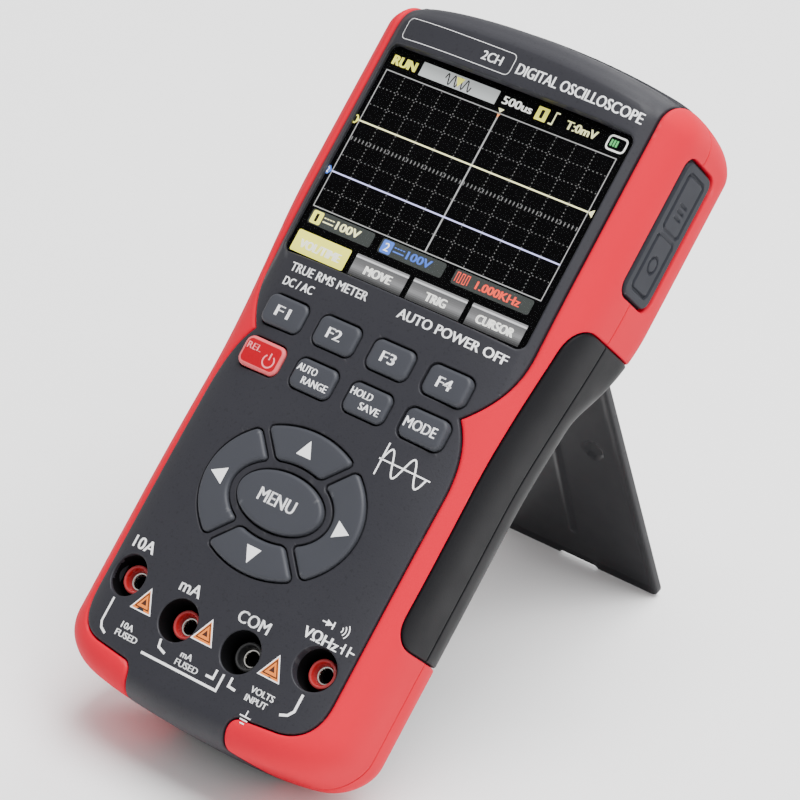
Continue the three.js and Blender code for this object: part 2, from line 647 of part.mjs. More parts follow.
function addPower() {
  const { radius, low, high, z, capRadius, capHeight } = CELL;
  const can = rodY(radius, 0, [low, high - capHeight], z, 28);
  const cap = rodY(capRadius, 0, [high - capHeight - PAST, high], z, 14);
  addPiece(meter, "battery_cell", can.add(cap), cellWrap);
  const levels = [POCKET_Z + GAP, DOOR_TOP];
  let door = box([-DOOR.half, DOOR.half], [DOOR.low, DOOR.high], levels);
  const { y, hole, head: headRadius, headHeight, tip } = DOOR_SCREW;
  door = door.subtract(rodZ(hole, 0, y, everywhere, 10));
  addPiece(meter, "battery_door", door, charcoal);
  const head = rodZ(headRadius, 0, y, [POCKET_Z - headHeight, POCKET_Z], 14);
  const shank = rodZ(hole - GAP, 0, y, [POCKET_Z - headHeight / 2, tip], 10);
  addPiece(meter, "battery_door_screw", head.add(shank), steel);
}

function addScrews() {
  for (const { name, x, y } of screwPlaces()) {
    const seat = SCREW.seat - GAP;
    const head = rodZ(SCREW.head, x, y, [seat - SCREW.headHeight, seat], 14);
    const socket = rodZ(SCREW.drive, x, y, [seat - OUTSIDE, seat - SCREW.headHeight / 2], 6);
    const shank = rodZ(SCREW.shank, x, y, [seat - SCREW.headHeight / 4, SCREW.tip], 10);
    addPiece(meter, `case_screw_${name}`, head.add(shank).subtract(socket), steel);
  }
}

// The charging socket: a thin metal shell with a tongue in it.
function makeUsbSocket() {
  const { y, length, height } = PORTS.usb;
  const inside = PORT_FACE - PORT_DEPTH;
  const shell = (shrink, reach) => {
    const rows = [y - length / 2 + shrink, y + length / 2 - shrink];
    return box(reach, rows, [FLAP.z - height / 2 + shrink, FLAP.z + height / 2 - shrink]);
  };
  const hollow = shell(SOCKET.thinWall, [inside + PAST, PORT_FACE + PAST]);
  const { half, thick, sunk } = TONGUE;
  const reach = [inside + PAST / 2, PORT_FACE - sunk];
  const tongue = box(reach, [y - half, y + half], [FLAP.z - thick, FLAP.z + thick]);
  return shell(0, [inside, PORT_FACE]).subtract(hollow).add(tongue);
}

// A round socket between two ends, with a pin on its axis and its mouth at the far end.
function roundSocket(rod, radius, [inner, outer], bottom) {
  const bore = rod(radius - SOCKET.wall, [inner + bottom, outer + PAST], 14);
  const pin = rod(SOCKET.pin, [inner + bottom / 2, outer - SOCKET.pinSunk], 8);
  return rod(radius, [inner, outer]).subtract(bore).add(pin);
}

function addPorts() {
  addPiece(meter, "usb_socket", makeUsbSocket(), steel);
  const { y, radius } = PORTS.signal;
  const across = (size, reach, sides) => rodX(size, reach, y, FLAP.z, sides);
  const reach = [PORT_FACE - PORT_DEPTH, PORT_FACE];
  addPiece(meter, "signal_socket", roundSocket(across, radius, reach, PAST), nickel);
  SIDES.forEach(([, sign], i) => {
    const upright = (size, rows, sides) => rodY(size, sign * INPUTS.x, rows, INPUTS.z, sides);
    const rows = [INPUTS.outer - INPUTS.depth, INPUTS.outer];
    const input = roundSocket(upright, INPUTS.radius, rows, INPUTS.bottom);
    addPiece(meter, `scope_input_${i + 1}`, input, nickel);
  });
}

function addFlap() {
  const plate = sidePrism(flapOutline(0), FLAP.inner, FLAP.outer, 5);
  addPiece(meter, "port_flap", plate, blackRubber);
}

// ---- Kickstand, drawn about its hinge axis and closed -------------------------------------

const stand = new THREE.Group();

function addStand() {
  const { length, root, foot, barrel, pin } = STAND;
  const { outer, inner } = STAND_PLATE;
  const plateOutline = outlineOf([[-foot, -length], [foot, -length], [root, 0], [-root, 0]]);
  let plate = prism(plateOutline, outer, inner);
  plate = plate.add(rodX(barrel, [-root, root], 0, 0));
  const ribRows = [-length + STAND_RIB.fromFoot, -STAND_RIB.fromRoot];
  const ribLevels = [inner - STAND_RIB.height / 2, inner + STAND_RIB.height];
  plate = plate.add(box([-STAND_RIB.half, STAND_RIB.half], ribRows, ribLevels));
  const notchRows = [-length - PAST, -length + STAND_NOTCH.depth];
  plate = plate.subtract(box([-STAND_NOTCH.half, STAND_NOTCH.half], notchRows, everywhere));
  const { x, fromRoot, radius, depth } = STAND_RECESS;
  plate = plate.subtract(rodZ(radius, x, -fromRoot, [inner - depth, OUTSIDE], 16));
  plate = plate.subtract(rodX(pin + GAP, everywhere, 0, 0, 12));
  addPiece(stand, "kickstand", plate, blackRubber);
}

function addHingePin() {
  const pin = rodX(STAND.pin, [-PIN_HALF, PIN_HALF], STAND.y, STAND.z, 12);
  addPiece(meter, "kickstand_pin", pin, steel);
}

addPiece(meter, "front_case", trimFrontCase(makeFrontCase()), charcoal);
addPiece(meter, "rear_case", makeRearCase(), charcoal);
addSkins();
addScreen();
addKeys();
addBoards();
addJacks();
addPower();
addScrews();
addPorts();
addFlap();
addHingePin();
addStand();

// ---- Standing pose ------------------------------------------------------------------------

function lowestLeaning(group, angle) {
  let lowest = Infinity;
  for (const { geometry } of group.children) {
    const position = geometry.getAttribute("position");
    for (let i = 0; i < position.count; i++) {
      const height = position.getY(i) * Math.sin(angle) + position.getZ(i) * Math.cos(angle);
      lowest = Math.min(lowest, height);
    }
  }
  return lowest;
}

// The kickstand opens until the front edge of its foot is level with the bottom of the case.
function standOpening() {
  const hingeHeight = STAND.y * Math.sin(LEAN) + STAND.z * Math.cos(LEAN);
  const drop = hingeHeight - lowestLeaning(meter, LEAN);
  const edge = Math.hypot(STAND.length, STAND_PLATE.inner);
  const tilt = Math.atan2(STAND_PLATE.inner, STAND.length);
  return Math.PI - Math.asin(drop / edge) + tilt - LEAN;
}

const opening = standOpening();
const lowest = lowestLeaning(meter, LEAN);
stand.position.set(0, STAND.y, STAND.z);
stand.rotation.x = opening;
meter.add(stand);
meter.rotation.x = LEAN;
meter.position.z = -lowest;

const scope = new THREE.Group();
scope.name = "oscilloscope";
scope.add(meter);
scope.updateMatrixWorld(true);
const bounds = new THREE.Box3().setFromObject(scope, true);
meter.position.y = -(bounds.min.y + bounds.max.y) / 2;
meter.position.x = -(bounds.min.x + bounds.max.x) / 2;

export default scope;
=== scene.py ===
import json
from collections import defaultdict
from math import ceil, cos, hypot, pi, radians, sin, tan

import bpy
import numpy as np
from mathutils import Matrix, Vector


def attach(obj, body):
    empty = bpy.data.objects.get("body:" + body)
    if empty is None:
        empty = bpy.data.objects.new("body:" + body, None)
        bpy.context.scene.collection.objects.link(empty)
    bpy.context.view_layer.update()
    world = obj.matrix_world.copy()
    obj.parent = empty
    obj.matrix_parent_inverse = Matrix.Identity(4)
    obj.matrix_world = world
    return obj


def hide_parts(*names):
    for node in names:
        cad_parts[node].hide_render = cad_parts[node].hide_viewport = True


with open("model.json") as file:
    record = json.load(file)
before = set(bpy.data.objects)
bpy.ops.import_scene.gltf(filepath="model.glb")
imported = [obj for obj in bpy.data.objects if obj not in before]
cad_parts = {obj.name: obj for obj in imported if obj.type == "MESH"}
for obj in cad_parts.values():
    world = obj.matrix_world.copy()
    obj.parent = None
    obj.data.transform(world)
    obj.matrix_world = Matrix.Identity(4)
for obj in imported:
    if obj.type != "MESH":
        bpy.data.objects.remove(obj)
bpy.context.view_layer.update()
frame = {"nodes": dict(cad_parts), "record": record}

# A handheld oscilloscope and multimeter on its kickstand. Everything is drawn in the meter's own
# frame, in millimetres: x to the right, y up its length, z out of the front panel. It is put in
# the row frame, in metres, when each object is made.

MM = 0.001

# ---- The meter's own frame, from the joints ----

JOINTS = {joint["name"]: joint for joint in frame["record"]["behaviour"]["joints"]}
ACROSS = np.array([1.0, 0, 0])
ALONG = np.array(JOINTS["port_flap_hinge"]["axis"], float)
OUTWARD = -np.array(JOINTS["key_menu_press"]["axis"], float)
AXES = np.array([ACROSS, ALONG, OUTWARD])
STAND_HINGE = np.array([0.0, 133.4, -37.4])
ORIGIN = np.array(JOINTS["kickstand_hinge"]["pos_m"]) - MM * STAND_HINGE @ AXES
STAND_OPEN = -radians(JOINTS["kickstand_hinge"]["range_deg"][0])

# ---- Sizes ----

TOP, BOTTOM = 177.2, -4.1
HALF_WIDTH, HALF_GRIP = 44.3, 40.9
DEPTH, SEAM_Z = 40, -21.0
BACK_Z = -39.7
GAP = 0.3
WAIST = (72, 126)  # rows between which the sides widen
FRONT_POWER = (4.4, 3.6, 40, 105)  # squareness of the section: low, high, and the rows between
BACK_POWER = (2.6, 8, 97, 126)
CORNER_RADIUS = {"bottom": 10, "top": 7}
BACK_RADIUS = {"bottom": 11, "top": 7}
FACE_RADIUS = 6
TOP_ARCH = (4.4, 2.8, 126)  # drop at the sides, drop at the face, and the row where it begins
BOTTOM_ARCH = (5.6, 0.5, 35)
SKIN = 2.0
SHRINK = 0.08

PANEL_TOP_HALF, PANEL_LOW_HALF = 38, 35.2
NOTCH = (30, 85.7)
HOOK = (14.8, 18, 4.4)  # where the bumper's hook ends at the bottom: x, x of its tip, y
BACK_HALF = 31
GRIP_ROWS = (35, 117)
SKIN_SPLIT = 45
OUTSIDE = 60  # how far outlines run past the case

SCREEN = (0, 133, 70.1, 54.7)  # x, y, width, height
SCREEN_CORNER = 2
PICTURE_Z = -4.7
KEY_SIZE = (11.6, 7.4)
KEY_CORNER = 2
KEY_PROUD, MENU_PROUD, KEY_CROWN = 0.7, 1.1, 0.12
KEY_PITCH = 15.8
KEY_ROWS = (91.3, 80.2)
NAV_Y = 51.4
NAV_OUTER, NAV_INNER, NAV_MENU = (22.2, 17.8), (14.6, 9.4), (12, 6.9)
NAV_SPLIT, NAV_SLOPE = 1.1, tan(radians(47))
ARROW = [(-2.1, -2.0), (2.1, -2.0), (0, 2.0)]
ARROW_TURNS = {"key_up": 0, "key_left": 90, "key_down": 180, "key_right": -90}
JACKS = {"10a": (-27.8, 21.6), "ma": (-9.3, 17.5), "com": (9.3, 17.5), "volt": (27.8, 21.6)}
WELL, SLEEVE, WELL_END, JACK_SINK = 5.15, 6.3, -24, 4
AXIS = 0.001  # radius of a turned profile where it meets its own axis
FLAP = (146, -21.8, 34.1, 14.2)  # y, z, length, height
FLAP_CORNER, FLAP_GROOVE = 2.6, 0.8
FLAP_FACE, FLAP_INNER = 44.2, 42.3
USB = (152, 9, 3.3)  # y, length, height
SIGNAL = (138, 2.9)  # y, radius
INPUTS = (12, -27, 3.2, 174.5)  # x, z, radius, y of the end
POCKET_Z = -36
DOOR = (13.7, 48, 123)  # half width, low row, high row
RIDGES_Y = 112
SCREWS, SCREW_HOLE = ((26, 168), (21, 9)), 3.1
STAND_LENGTH, STAND_ROOT, STAND_FOOT = 113.5, 18.3, 25.2
STAND_OUTER, STAND_INNER, STAND_BARREL, STAND_PIN = -1.7, 0.5, 2.6, 1.3
STAND_CORNER = 2

# Fineness: steps along the outer form, over its end caps and half round it, on edges and in turning.
STEP = 0.9
CAP_SPAN, HALF_ROUND = 36, 118
ROUND_STEPS = 4
NEAR = 0.03  # points this near to a cut are taken to lie on it
TURN_SIDES = 48
# Lettering and lines: thickness, and how far the strokes are widened.
PRINT, BOLDNESS = 0.02, 2.8
FAR = 50.0  # a field's value where it cuts nothing

# ---- Small helpers ----


def smooth(value, low, high):
    share = np.clip((value - low) / (high - low), 0, 1)
    return share * share * (3 - 2 * share)


def mix(low, high, share):
    return low + (high - low) * share


def half_width(y):
    return mix(HALF_GRIP, HALF_WIDTH, smooth(y, *WAIST))


def power_at(y, powers):
    low, high, start, end = powers
    return mix(low, high, smooth(y, start, end))


def end_pull(distance, radius):
    left = np.clip(1 - distance / radius, 0, 1)
    return radius * (1 - np.sqrt(1 - left * left))


def front_z(x, y):
    """Height of the front surface over a point of the panel."""
    across = np.clip(np.abs(x) / half_width(y), 0, 1)
    exponent = power_at(y, FRONT_POWER)
    return SEAM_Z - SHRINK - SEAM_Z * (1 - across**exponent) ** (1 / exponent)


def arched(x, y, z):
    """Both ends are arched from side to side and from front to back."""
    across = (x / HALF_WIDTH) ** 2
    deep = ((z - SEAM_Z) / SEAM_Z) ** 2
    near_top = smooth(y, TOP_ARCH[2], TOP)
    near_bottom = 1 - smooth(y, BOTTOM, BOTTOM_ARCH[2])
    drop = near_top * (TOP_ARCH[0] * across + TOP_ARCH[1] * deep)
    rise = near_bottom * (BOTTOM_ARCH[0] * across + BOTTOM_ARCH[1] * deep)
    return y - drop + rise


def quadratic(start, control, end, count=8):
    share = np.linspace(0, 1, count + 1)[1:, None]
    start, control, end = (np.array(p, float) for p in (start, control, end))
    return list((1 - share) ** 2 * start + 2 * share * (1 - share) * control + share**2 * end)


# ---- Surfaces: points with normals, and triangles ----


def unit(vectors):
    return vectors / np.maximum(np.linalg.norm(vectors, axis=1, keepdims=True), 1e-12)


def with_normals(points, tris):
    corners = points[tris]
    area = np.cross(corners[:, 1] - corners[:, 0], corners[:, 2] - corners[:, 0])
    normals = np.zeros_like(points)
    for k in range(3):
        np.add.at(normals, tris[:, k], area)
    return np.hstack([points, unit(normals)])


def grid_tris(index, closed=False):
    if closed:
        index = np.hstack([index, index[:, :1]])
    a, b, c, d = index[:-1, :-1], index[:-1, 1:], index[1:, 1:], index[1:, :-1]
    tris = np.vstack([np.stack(corners, -1).reshape(-1, 3) for corners in ((a, b, c), (a, c, d))])
    same = (tris[:, 0] == tris[:, 1]) | (tris[:, 1] == tris[:, 2]) | (tris[:, 0] == tris[:, 2])
    return tris[~same]


def half_section(y, distance, end, inset, is_front, count):
    """Evenly spaced points round half a cross-section, from the right side to the left."""
    exponent = 2 / power_at(y, FRONT_POWER if is_front else BACK_POWER)
    half = half_width(y) - inset - end_pull(distance, CORNER_RADIUS[end])
    full = -SEAM_Z if is_front else DEPTH + SEAM_Z
    radius = FACE_RADIUS if is_front else BACK_RADIUS[end]
    height = full - inset - end_pull(distance, radius)
    angle = np.linspace(0, pi, 601)
    x = half * np.sign(np.cos(angle)) * np.abs(np.cos(angle)) ** exponent
    z = height * np.abs(np.sin(angle)) ** exponent * (1 if is_front else -1)
    run = np.concatenate([[0], np.cumsum(np.hypot(np.diff(x), np.diff(z)))])
    even = np.linspace(0, run[-1], count + 1)
    return np.array([np.interp(even, run, x), SEAM_Z + np.interp(even, run, z)])


def meter_surface(inset=0.0, step=STEP):
    """The closed outer form, drawn in by inset."""
    rows = []
    for end, edge, inward in (("bottom", BOTTOM + inset, 1), ("top", TOP - inset, -1)):
        radius = CORNER_RADIUS[end]
        turns = np.linspace(0, pi / 2, int(radius * 1.6 / step) + 1)
        depths = [radius * (1 - cos(turn)) for turn in turns]
        row = [(edge, 0, end, share) for share in np.linspace(0, 1, int(CAP_SPAN / step))[:-1]]
        rows.append(row + [(edge + inward * depth, depth, end, 1) for depth in depths])
    low, high = rows[0][-1][0], rows[1][-1][0]
    middle = np.linspace(low, high, int((high - low) / step))[1:-1]
    body = [(y, min(y - BOTTOM, TOP - y) - inset, "top" if y > 90 else "bottom", 1) for y in middle]
    stations = rows[0] + body + rows[1][::-1]
    count = int(HALF_ROUND / step)
    points = []
    for y, distance, end, reach in stations:
        front, back = [half_section(y, distance, end, inset, is_front, count) for is_front in (True, False)]
        x, z = np.hstack([front[:, :-1], back[:, :0:-1]])
        x, z = x * reach, SEAM_Z + (z - SEAM_Z) * reach
        points.append(np.stack([x, arched(x, y, z), z], -1))
    index = np.arange(len(stations) * 2 * count).reshape(len(stations), 2 * count)
    index[0, :] = index[0, 0]
    index[-1, :] = index[-1, 0]
    points = np.vstack(points)
    points[:, 2] = np.maximum(points[:, 2], BACK_Z + inset)
    tris = grid_tris(index, closed=True)[:, ::-1]
    return compact(with_normals(points, tris), tris)


def sheet(low, high, step, height, axis="z"):
    """A flat grid between two corners, facing along an axis at a height."""
    counts = [max(2, int(ceil((b - a) / step)) + 1) for a, b in zip(low, high)]
    u, v = np.meshgrid(np.linspace(low[0], high[0], counts[0]), np.linspace(low[1], high[1], counts[1]))
    w = np.full_like(u, height)
    points = np.stack((w, u, v) if axis == "x" else (u, v, w), -1).reshape(-1, 3)
    tris = grid_tris(np.arange(len(points)).reshape(u.shape))
    return with_normals(points, tris), tris


def flipped(surface):
    """The same level sheet, facing down."""
    points, tris = surface
    return points * np.array([1, 1, 1, 1, 1, -1]), tris[:, ::-1]


def compact(points, tris):
    used, inverse = np.unique(tris, return_inverse=True)
    return points[used], inverse.reshape(-1, 3)


# ---- Cutting a surface along the zero line of a field ----


def cut(points, tris, field, level=0.0):
    """Splits the triangles that the line field == level crosses."""
    value = field(points[:, :3]) - level
    value[np.abs(value) < NEAR] = 0.0
    sign = np.sign(value)[tris]
    crossed = (sign.min(axis=1) < 0) & (sign.max(axis=1) > 0)
    if not crossed.any():
        return points, tris
    kept, work, sign = tris[~crossed], tris[crossed], sign[crossed]
    touching = (sign == 0).any(axis=1)
    lone = np.argmax(sign == -sign.sum(axis=1, keepdims=True), axis=1)
    first = np.where(touching, np.argmax(sign == 0, axis=1), lone)
    work = np.take_along_axis(work, (first[:, None] + np.arange(3)) % 3, 1)
    two, three = work[touching], work[~touching]
    edges = np.vstack([two[:, [1, 2]], three[:, [0, 1]], three[:, [0, 2]]])
    pairs, inverse = np.unique(np.sort(edges, axis=1), axis=0, return_inverse=True)
    inverse = inverse.reshape(-1)
    a, b = points[pairs[:, 0]], points[pairs[:, 1]]
    va, vb = value[pairs[:, 0]], value[pairs[:, 1]]
    share = va / (va - vb)
    again = field((a + (b - a) * share[:, None])[:, :3]) - level
    same = np.sign(again) == np.sign(va)
    low, high = np.where(same, share, 0), np.where(same, 1, share)
    v_low, v_high = np.where(same, again, va), np.where(same, vb, again)
    change = np.where(np.abs(v_low - v_high) > 1e-12, v_low - v_high, 1)
    share = np.clip(low + (high - low) * v_low / change, 0.001, 0.999)
    fresh = a + (b - a) * share[:, None]
    p, q, r = np.split(len(points) + inverse, [len(two), len(two) + len(three)])
    (a, b, c), (d, e, f) = two.T, three.T
    split = [(a, b, p), (a, p, c), (d, q, r), (q, e, f), (q, f, r)]
    return np.vstack([points, fresh]), np.vstack([kept] + [np.stack(tri, -1) for tri in split])


def closed_by_walls(upper, lower, tris, a, b):
    """Two matching sheets, with walls between them along the rim edges from a to b."""
    n = len(upper)
    walls = [np.stack([b, a, a + n], -1), np.stack([b, a + n, b + n], -1)]
    return np.vstack([upper, lower]), np.vstack([tris, tris[:, ::-1] + n, *walls])


def shell(surface, edges, depth, relief=None, creases=(), sink=None, both=False):
    """A closed sheet: the part of a surface inside every field, with rounded edges.

    edges are (field, radius) pairs, relief raises the face, sink is the direction of the walls."""
    points, tris = surface
    for field, _ in edges:
        points, tris = cut(points, tris, field)
        value = field(points[:, :3])
        tris = tris[value[tris].mean(axis=1) > 0]
        points, tris = compact(points, tris)
    for field, radius in edges:
        for k in range(1, ROUND_STEPS + 1):
            level = radius * (1 - cos(k * pi / 2 / ROUND_STEPS))
            points, tris = cut(points, tris, field, level)
    for field in creases:
        points, tris = cut(points, tris, field)
    points, tris = compact(points, tris)
    place, normal = points[:, :3], unit(points[:, 3:])
    pull = np.zeros(len(place))
    for field, radius in edges:
        pull = np.maximum(pull, end_pull(field(place), radius))
    height = relief(place) if relief else 0.0
    outer = place - normal * (pull - height)[:, None]
    inward = -normal if sink is None else sink
    inner = place + inward * depth
    if both:
        inner += normal * pull[:, None]
    directed = np.vstack([tris[:, [0, 1]], tris[:, [1, 2]], tris[:, [2, 0]]])
    ordered = np.sort(directed, axis=1)
    _, index, count = np.unique(ordered, axis=0, return_index=True, return_counts=True)
    rim = directed[index[count == 1]]
    return closed_by_walls(outer, inner, tris, rim[:, 0], rim[:, 1])


# ---- Fields: distance in from an outline, positive inside ----


def polygon_field(outline, columns=(0, 1)):
    outline = np.array(outline, float)
    ends = np.roll(outline, -1, axis=0)

    def field(points):
        x, y = points[:, list(columns)].T
        best, inside = np.full(len(x), np.inf), np.zeros(len(x), bool)
        for (x0, y0), (x1, y1) in zip(outline, ends):
            dx, dy = x1 - x0, y1 - y0
            along = np.clip(((x - x0) * dx + (y - y0) * dy) / max(dx * dx + dy * dy, 1e-12), 0, 1)
            best = np.minimum(best, (x - x0 - along * dx) ** 2 + (y - y0 - along * dy) ** 2)
            if y0 != y1:
                inside ^= ((y0 > y) != (y1 > y)) & (x < x0 + (y - y0) * dx / dy)
        return np.where(inside, 1, -1) * np.sqrt(best)

    return field


def round_field(x, y, radius, columns=(0, 1)):
    return lambda p: radius - np.hypot(p[:, columns[0]] - x, p[:, columns[1]] - y)


def oval_field(radii):
    """An oval round the middle of the arrow keys."""
    a, b = radii

    def field(points):
        u, v = points[:, 0], points[:, 1] - NAV_Y
        size = np.sqrt((u / a) ** 2 + (v / b) ** 2)
        slope = np.hypot(u / a**2, v / b**2) / np.maximum(size, 1e-6)
        return (1 - size) / np.maximum(slope, 1e-3)

    return field


def meet(first, second, corner):
    """Inside both fields, with a rounded corner where their edges cross."""

    def field(points):
        a, b = first(points), second(points)
        beyond = np.hypot(np.maximum(corner - a, 0), np.maximum(corner - b, 0))
        return np.maximum(corner, np.minimum(a, b)) - beyond

    return field


def box_field(x, y, width, height, corner, columns=(0, 1)):
    u, v = columns
    across, along = (lambda p: width / 2 - np.abs(p[:, u] - x)), (lambda p: height / 2 - np.abs(p[:, v] - y))
    return meet(across, along, corner)


def grown(field, amount):
    return lambda p: field(p) + amount


def outside(field, gap=0.0):
    return lambda p: -field(p) - gap


def where(test, field):
    """The field, only where a test holds."""
    return lambda p: np.where(test(p), field(p), FAR)


def mirrored(points):
    return [tuple(p) for p in points] + [(-p[0], p[1]) for p in reversed(points)]


def panel_outline():
    top, low = PANEL_TOP_HALF, PANEL_LOW_HALF
    hook_x, tip, hook_y = HOOK
    notch_x, notch_y = NOTCH
    points = [(hook_x, -OUTSIDE), (hook_x, 0)]
    points += quadratic((hook_x, 0), (hook_x, hook_y), (tip, hook_y))
    points += [(low - 8, hook_y + 1)]
    points += quadratic(points[-1], (low, hook_y + 2.5), (low, hook_y + 12), 12)
    points += [(low, notch_y - 18)]
    points += quadratic(points[-1], (low, notch_y - 6), (notch_x, notch_y), 12)
    points += quadratic(points[-1], (top, notch_y + 9), (top, notch_y + 20), 12)
    points += [(top, TOP + OUTSIDE)]
    return mirrored(points)


def back_outline():
    hook_x, _, hook_y = HOOK
    half, wide = BACK_HALF, PANEL_TOP_HALF
    points = [(hook_x, -OUTSIDE), (hook_x, hook_y), (half - 5, hook_y), (half, hook_y + 7)]
    return mirrored(points + [(half, TOP - 20), (wide, TOP - 9), (wide, TOP + OUTSIDE)])


def grip_outline():
    low, high = GRIP_ROWS
    low_front, high_front = -7.2, -8.2
    points = [(low, -OUTSIDE), (high, -OUTSIDE), (high, high_front - 7)]
    points += quadratic(points[-1], (high, high_front), (high - 8, high_front))
    points += [(low + 6, low_front)]
    return points + quadratic(points[-1], (low, low_front), (low, low_front - 6))


def stand_outline(grow, low, high):
    wide, root = STAND_FOOT + grow, STAND_ROOT + grow
    return [(-wide, low - grow), (wide, low - grow), (root, high), (-root, high)]


def door_field(grow, corner):
    half, low, high = DOOR
    return box_field(0, (low + high) / 2, 2 * half + grow, high - low + grow, corner)


panel_field = polygon_field(panel_outline())
back_field = polygon_field(back_outline())
grip_field = polygon_field(grip_outline(), (1, 2))
flap_field = box_field(*FLAP, FLAP_CORNER, (1, 2))
screen_field = box_field(*SCREEN, SCREEN_CORNER)
pocket_field = polygon_field(stand_outline(0.6, STAND_HINGE[1] - STAND_LENGTH, STAND_HINGE[1] + 3))
# These three are in the kickstand's own frame, closed, with its hinge at the origin.
stand_edge = grown(polygon_field(stand_outline(-STAND_CORNER, -STAND_LENGTH, -STAND_CORNER)), STAND_CORNER)
rib_field = box_field(0, -62, 1.8, 80, 0.7)
recess_field = round_field(12.6, -65, 3)


def on_right(p):
    return p[:, 0] > 30


def in_front(p):
    return p[:, 2] - SEAM_Z - GAP / 2


def behind(p):
    return SEAM_Z - GAP / 2 - p[:, 2]


def holes(test, fields, radius):
    """Edges of holes that are cut where a test holds, with the radius of their rims."""
    return [(where(test, outside(field)), radius) for field in fields]


USB_HOLE = box_field(USB[0], FLAP[1], USB[1] + 0.8, USB[2] + 0.8, 0.8, (1, 2))
SIGNAL_HOLE = round_field(SIGNAL[0], FLAP[1], SIGNAL[1] + 0.4, (1, 2))
PORT_HOLES = holes(on_right, [USB_HOLE, SIGNAL_HOLE], 0.2)
SOCKETS = [round_field(sign * INPUTS[0], INPUTS[1], INPUTS[2] + 0.4, (0, 2)) for sign in (-1, 1)]
INPUT_HOLES = holes(lambda p: p[:, 1] > 160, SOCKETS, 0.4)
BOSSES = [round_field(sign * x, y, SCREW_HOLE) for x, y in SCREWS for sign in (-1, 1)]
SCREW_HOLES = holes(lambda p: p[:, 2] < -30, BOSSES, 0.3)


# ---- Keys ----


def arc_field(direction):
    """One arrow key of the ring."""
    right, up = direction

    def wedge(points):
        u, v = points[:, 0], points[:, 1] - NAV_Y
        above = v * up - NAV_SLOPE * np.abs(u) if up else NAV_SLOPE * u * right - np.abs(v)
        return above / hypot(1, NAV_SLOPE) - NAV_SPLIT

    ring = meet(oval_field(NAV_OUTER), wedge, 1.3)
    return meet(ring, outside(oval_field(NAV_INNER)), 1)


def list_keys():
    """Every key's field, its middle, and how far it stands proud."""
    keys = {}
    rows = ("key_f1", "key_f2", "key_f3", "key_f4"), ("key_power", "key_auto_range", "key_hold", "key_mode")
    for y, row in zip(KEY_ROWS, rows):
        for i, name in enumerate(row):
            x = (i - 1.5) * KEY_PITCH
            keys[name] = (box_field(x, y, *KEY_SIZE, KEY_CORNER), (x, y), KEY_PROUD)
    arcs = {"key_up": (0, 1), "key_down": (0, -1), "key_left": (-1, 0), "key_right": (1, 0)}
    for name, (right, up) in arcs.items():
        x = right * (NAV_OUTER[0] + NAV_INNER[0]) / 2
        y = NAV_Y + up * (NAV_OUTER[1] + NAV_INNER[1]) / 2
        keys[name] = (arc_field((right, up)), (x, y), KEY_PROUD)
    keys["key_menu"] = (oval_field(NAV_MENU), (0, NAV_Y), MENU_PROUD)
    return keys


KEYS = list_keys()

# ---- Turned shapes, flat prints and strips ----


def turned(profile, x=0.0, y=0.0, z=0.0, axis="z"):
    """A closed profile of (radius, height) points, turned about a line along an axis."""
    profile = np.array(profile, float)
    angle = np.linspace(0, 2 * pi, TURN_SIDES, endpoint=False)[:, None]
    r, h = profile[:, 0][None], profile[:, 1][None]
    ring = np.stack([r * np.cos(angle), r * np.sin(angle), h + 0 * angle], -1)
    order = {"x": [2, 0, 1], "y": [1, 2, 0], "z": [0, 1, 2]}[axis]
    points = ring[..., order].reshape(-1, 3) + np.array([x, y, z])
    index = np.arange(len(points)).reshape(TURN_SIDES, -1)
    tris = grid_tris(np.vstack([index, index[:1]]), closed=True)
    area = np.sum(profile[:, 0] * np.roll(profile[:, 1], -1) - np.roll(profile[:, 0], -1) * profile[:, 1])
    return points, tris if area < 0 else tris[:, ::-1]


def lifted(flat, height):
    return np.column_stack([flat, np.full(len(flat), height)])


def slab(outline, lift=0.0, thickness=PRINT):
    """A thin plate on a convex outline, drawn anticlockwise."""
    rim = np.arange(len(outline))
    fan = np.array([(0, i, i + 1) for i in rim[1:-1]])
    top, low = lifted(outline, lift + thickness), lifted(outline, lift)
    return closed_by_walls(top, low, fan, rim, np.roll(rim, -1))


def ribbon(points, width, lift=0.0, thickness=PRINT, closed=False):
    """A thin flat strip along a line of points."""
    line = np.array(points, float)
    ahead = np.roll(line, -1, axis=0) - line
    if not closed:
        ahead[-1] = ahead[-2]
    ahead = unit(ahead)
    before = np.roll(ahead, 1, axis=0)
    if not closed:
        before[0] = ahead[0]
    side = unit(np.stack([-(ahead + before)[:, 1], (ahead + before)[:, 0]], -1))
    straight = np.stack([-ahead[:, 1], ahead[:, 0]], -1)
    side /= np.maximum((side * straight).sum(axis=1, keepdims=True), 0.4)
    left, right = line + side * width / 2, line - side * width / 2
    high = lift + thickness
    corners = [lifted(right, high), lifted(left, high), lifted(left, lift), lifted(right, lift)]
    index = np.arange(4 * len(line)).reshape(4, -1)
    tris = grid_tris(np.vstack([index, index[:1]]), closed)
    if not closed:
        first, last = index[:, 0], index[:, -1]
        caps = [first[[0, 1, 2]], first[[0, 2, 3]], last[[2, 1, 0]], last[[3, 2, 0]]]
        tris = np.vstack([tris, caps])
    return np.vstack(corners), tris


def rounded_rectangle(x, y, width, height, corner, steps=3):
    points = []
    for sx, sy, start in ((1, -1, -90), (1, 1, 0), (-1, 1, 90), (-1, -1, 180)):
        for k in range(steps + 1):
            angle = radians(start + 90 * k / steps)
            cx, cy = x + sx * (width / 2 - corner), y + sy * (height / 2 - corner)
            points.append((cx + corner * cos(angle), cy + corner * sin(angle)))
    return points


def added(name, data):
    """A new object in the scene."""
    item = bpy.data.objects.new(name, data)
    bpy.context.collection.objects.link(item)
    return item


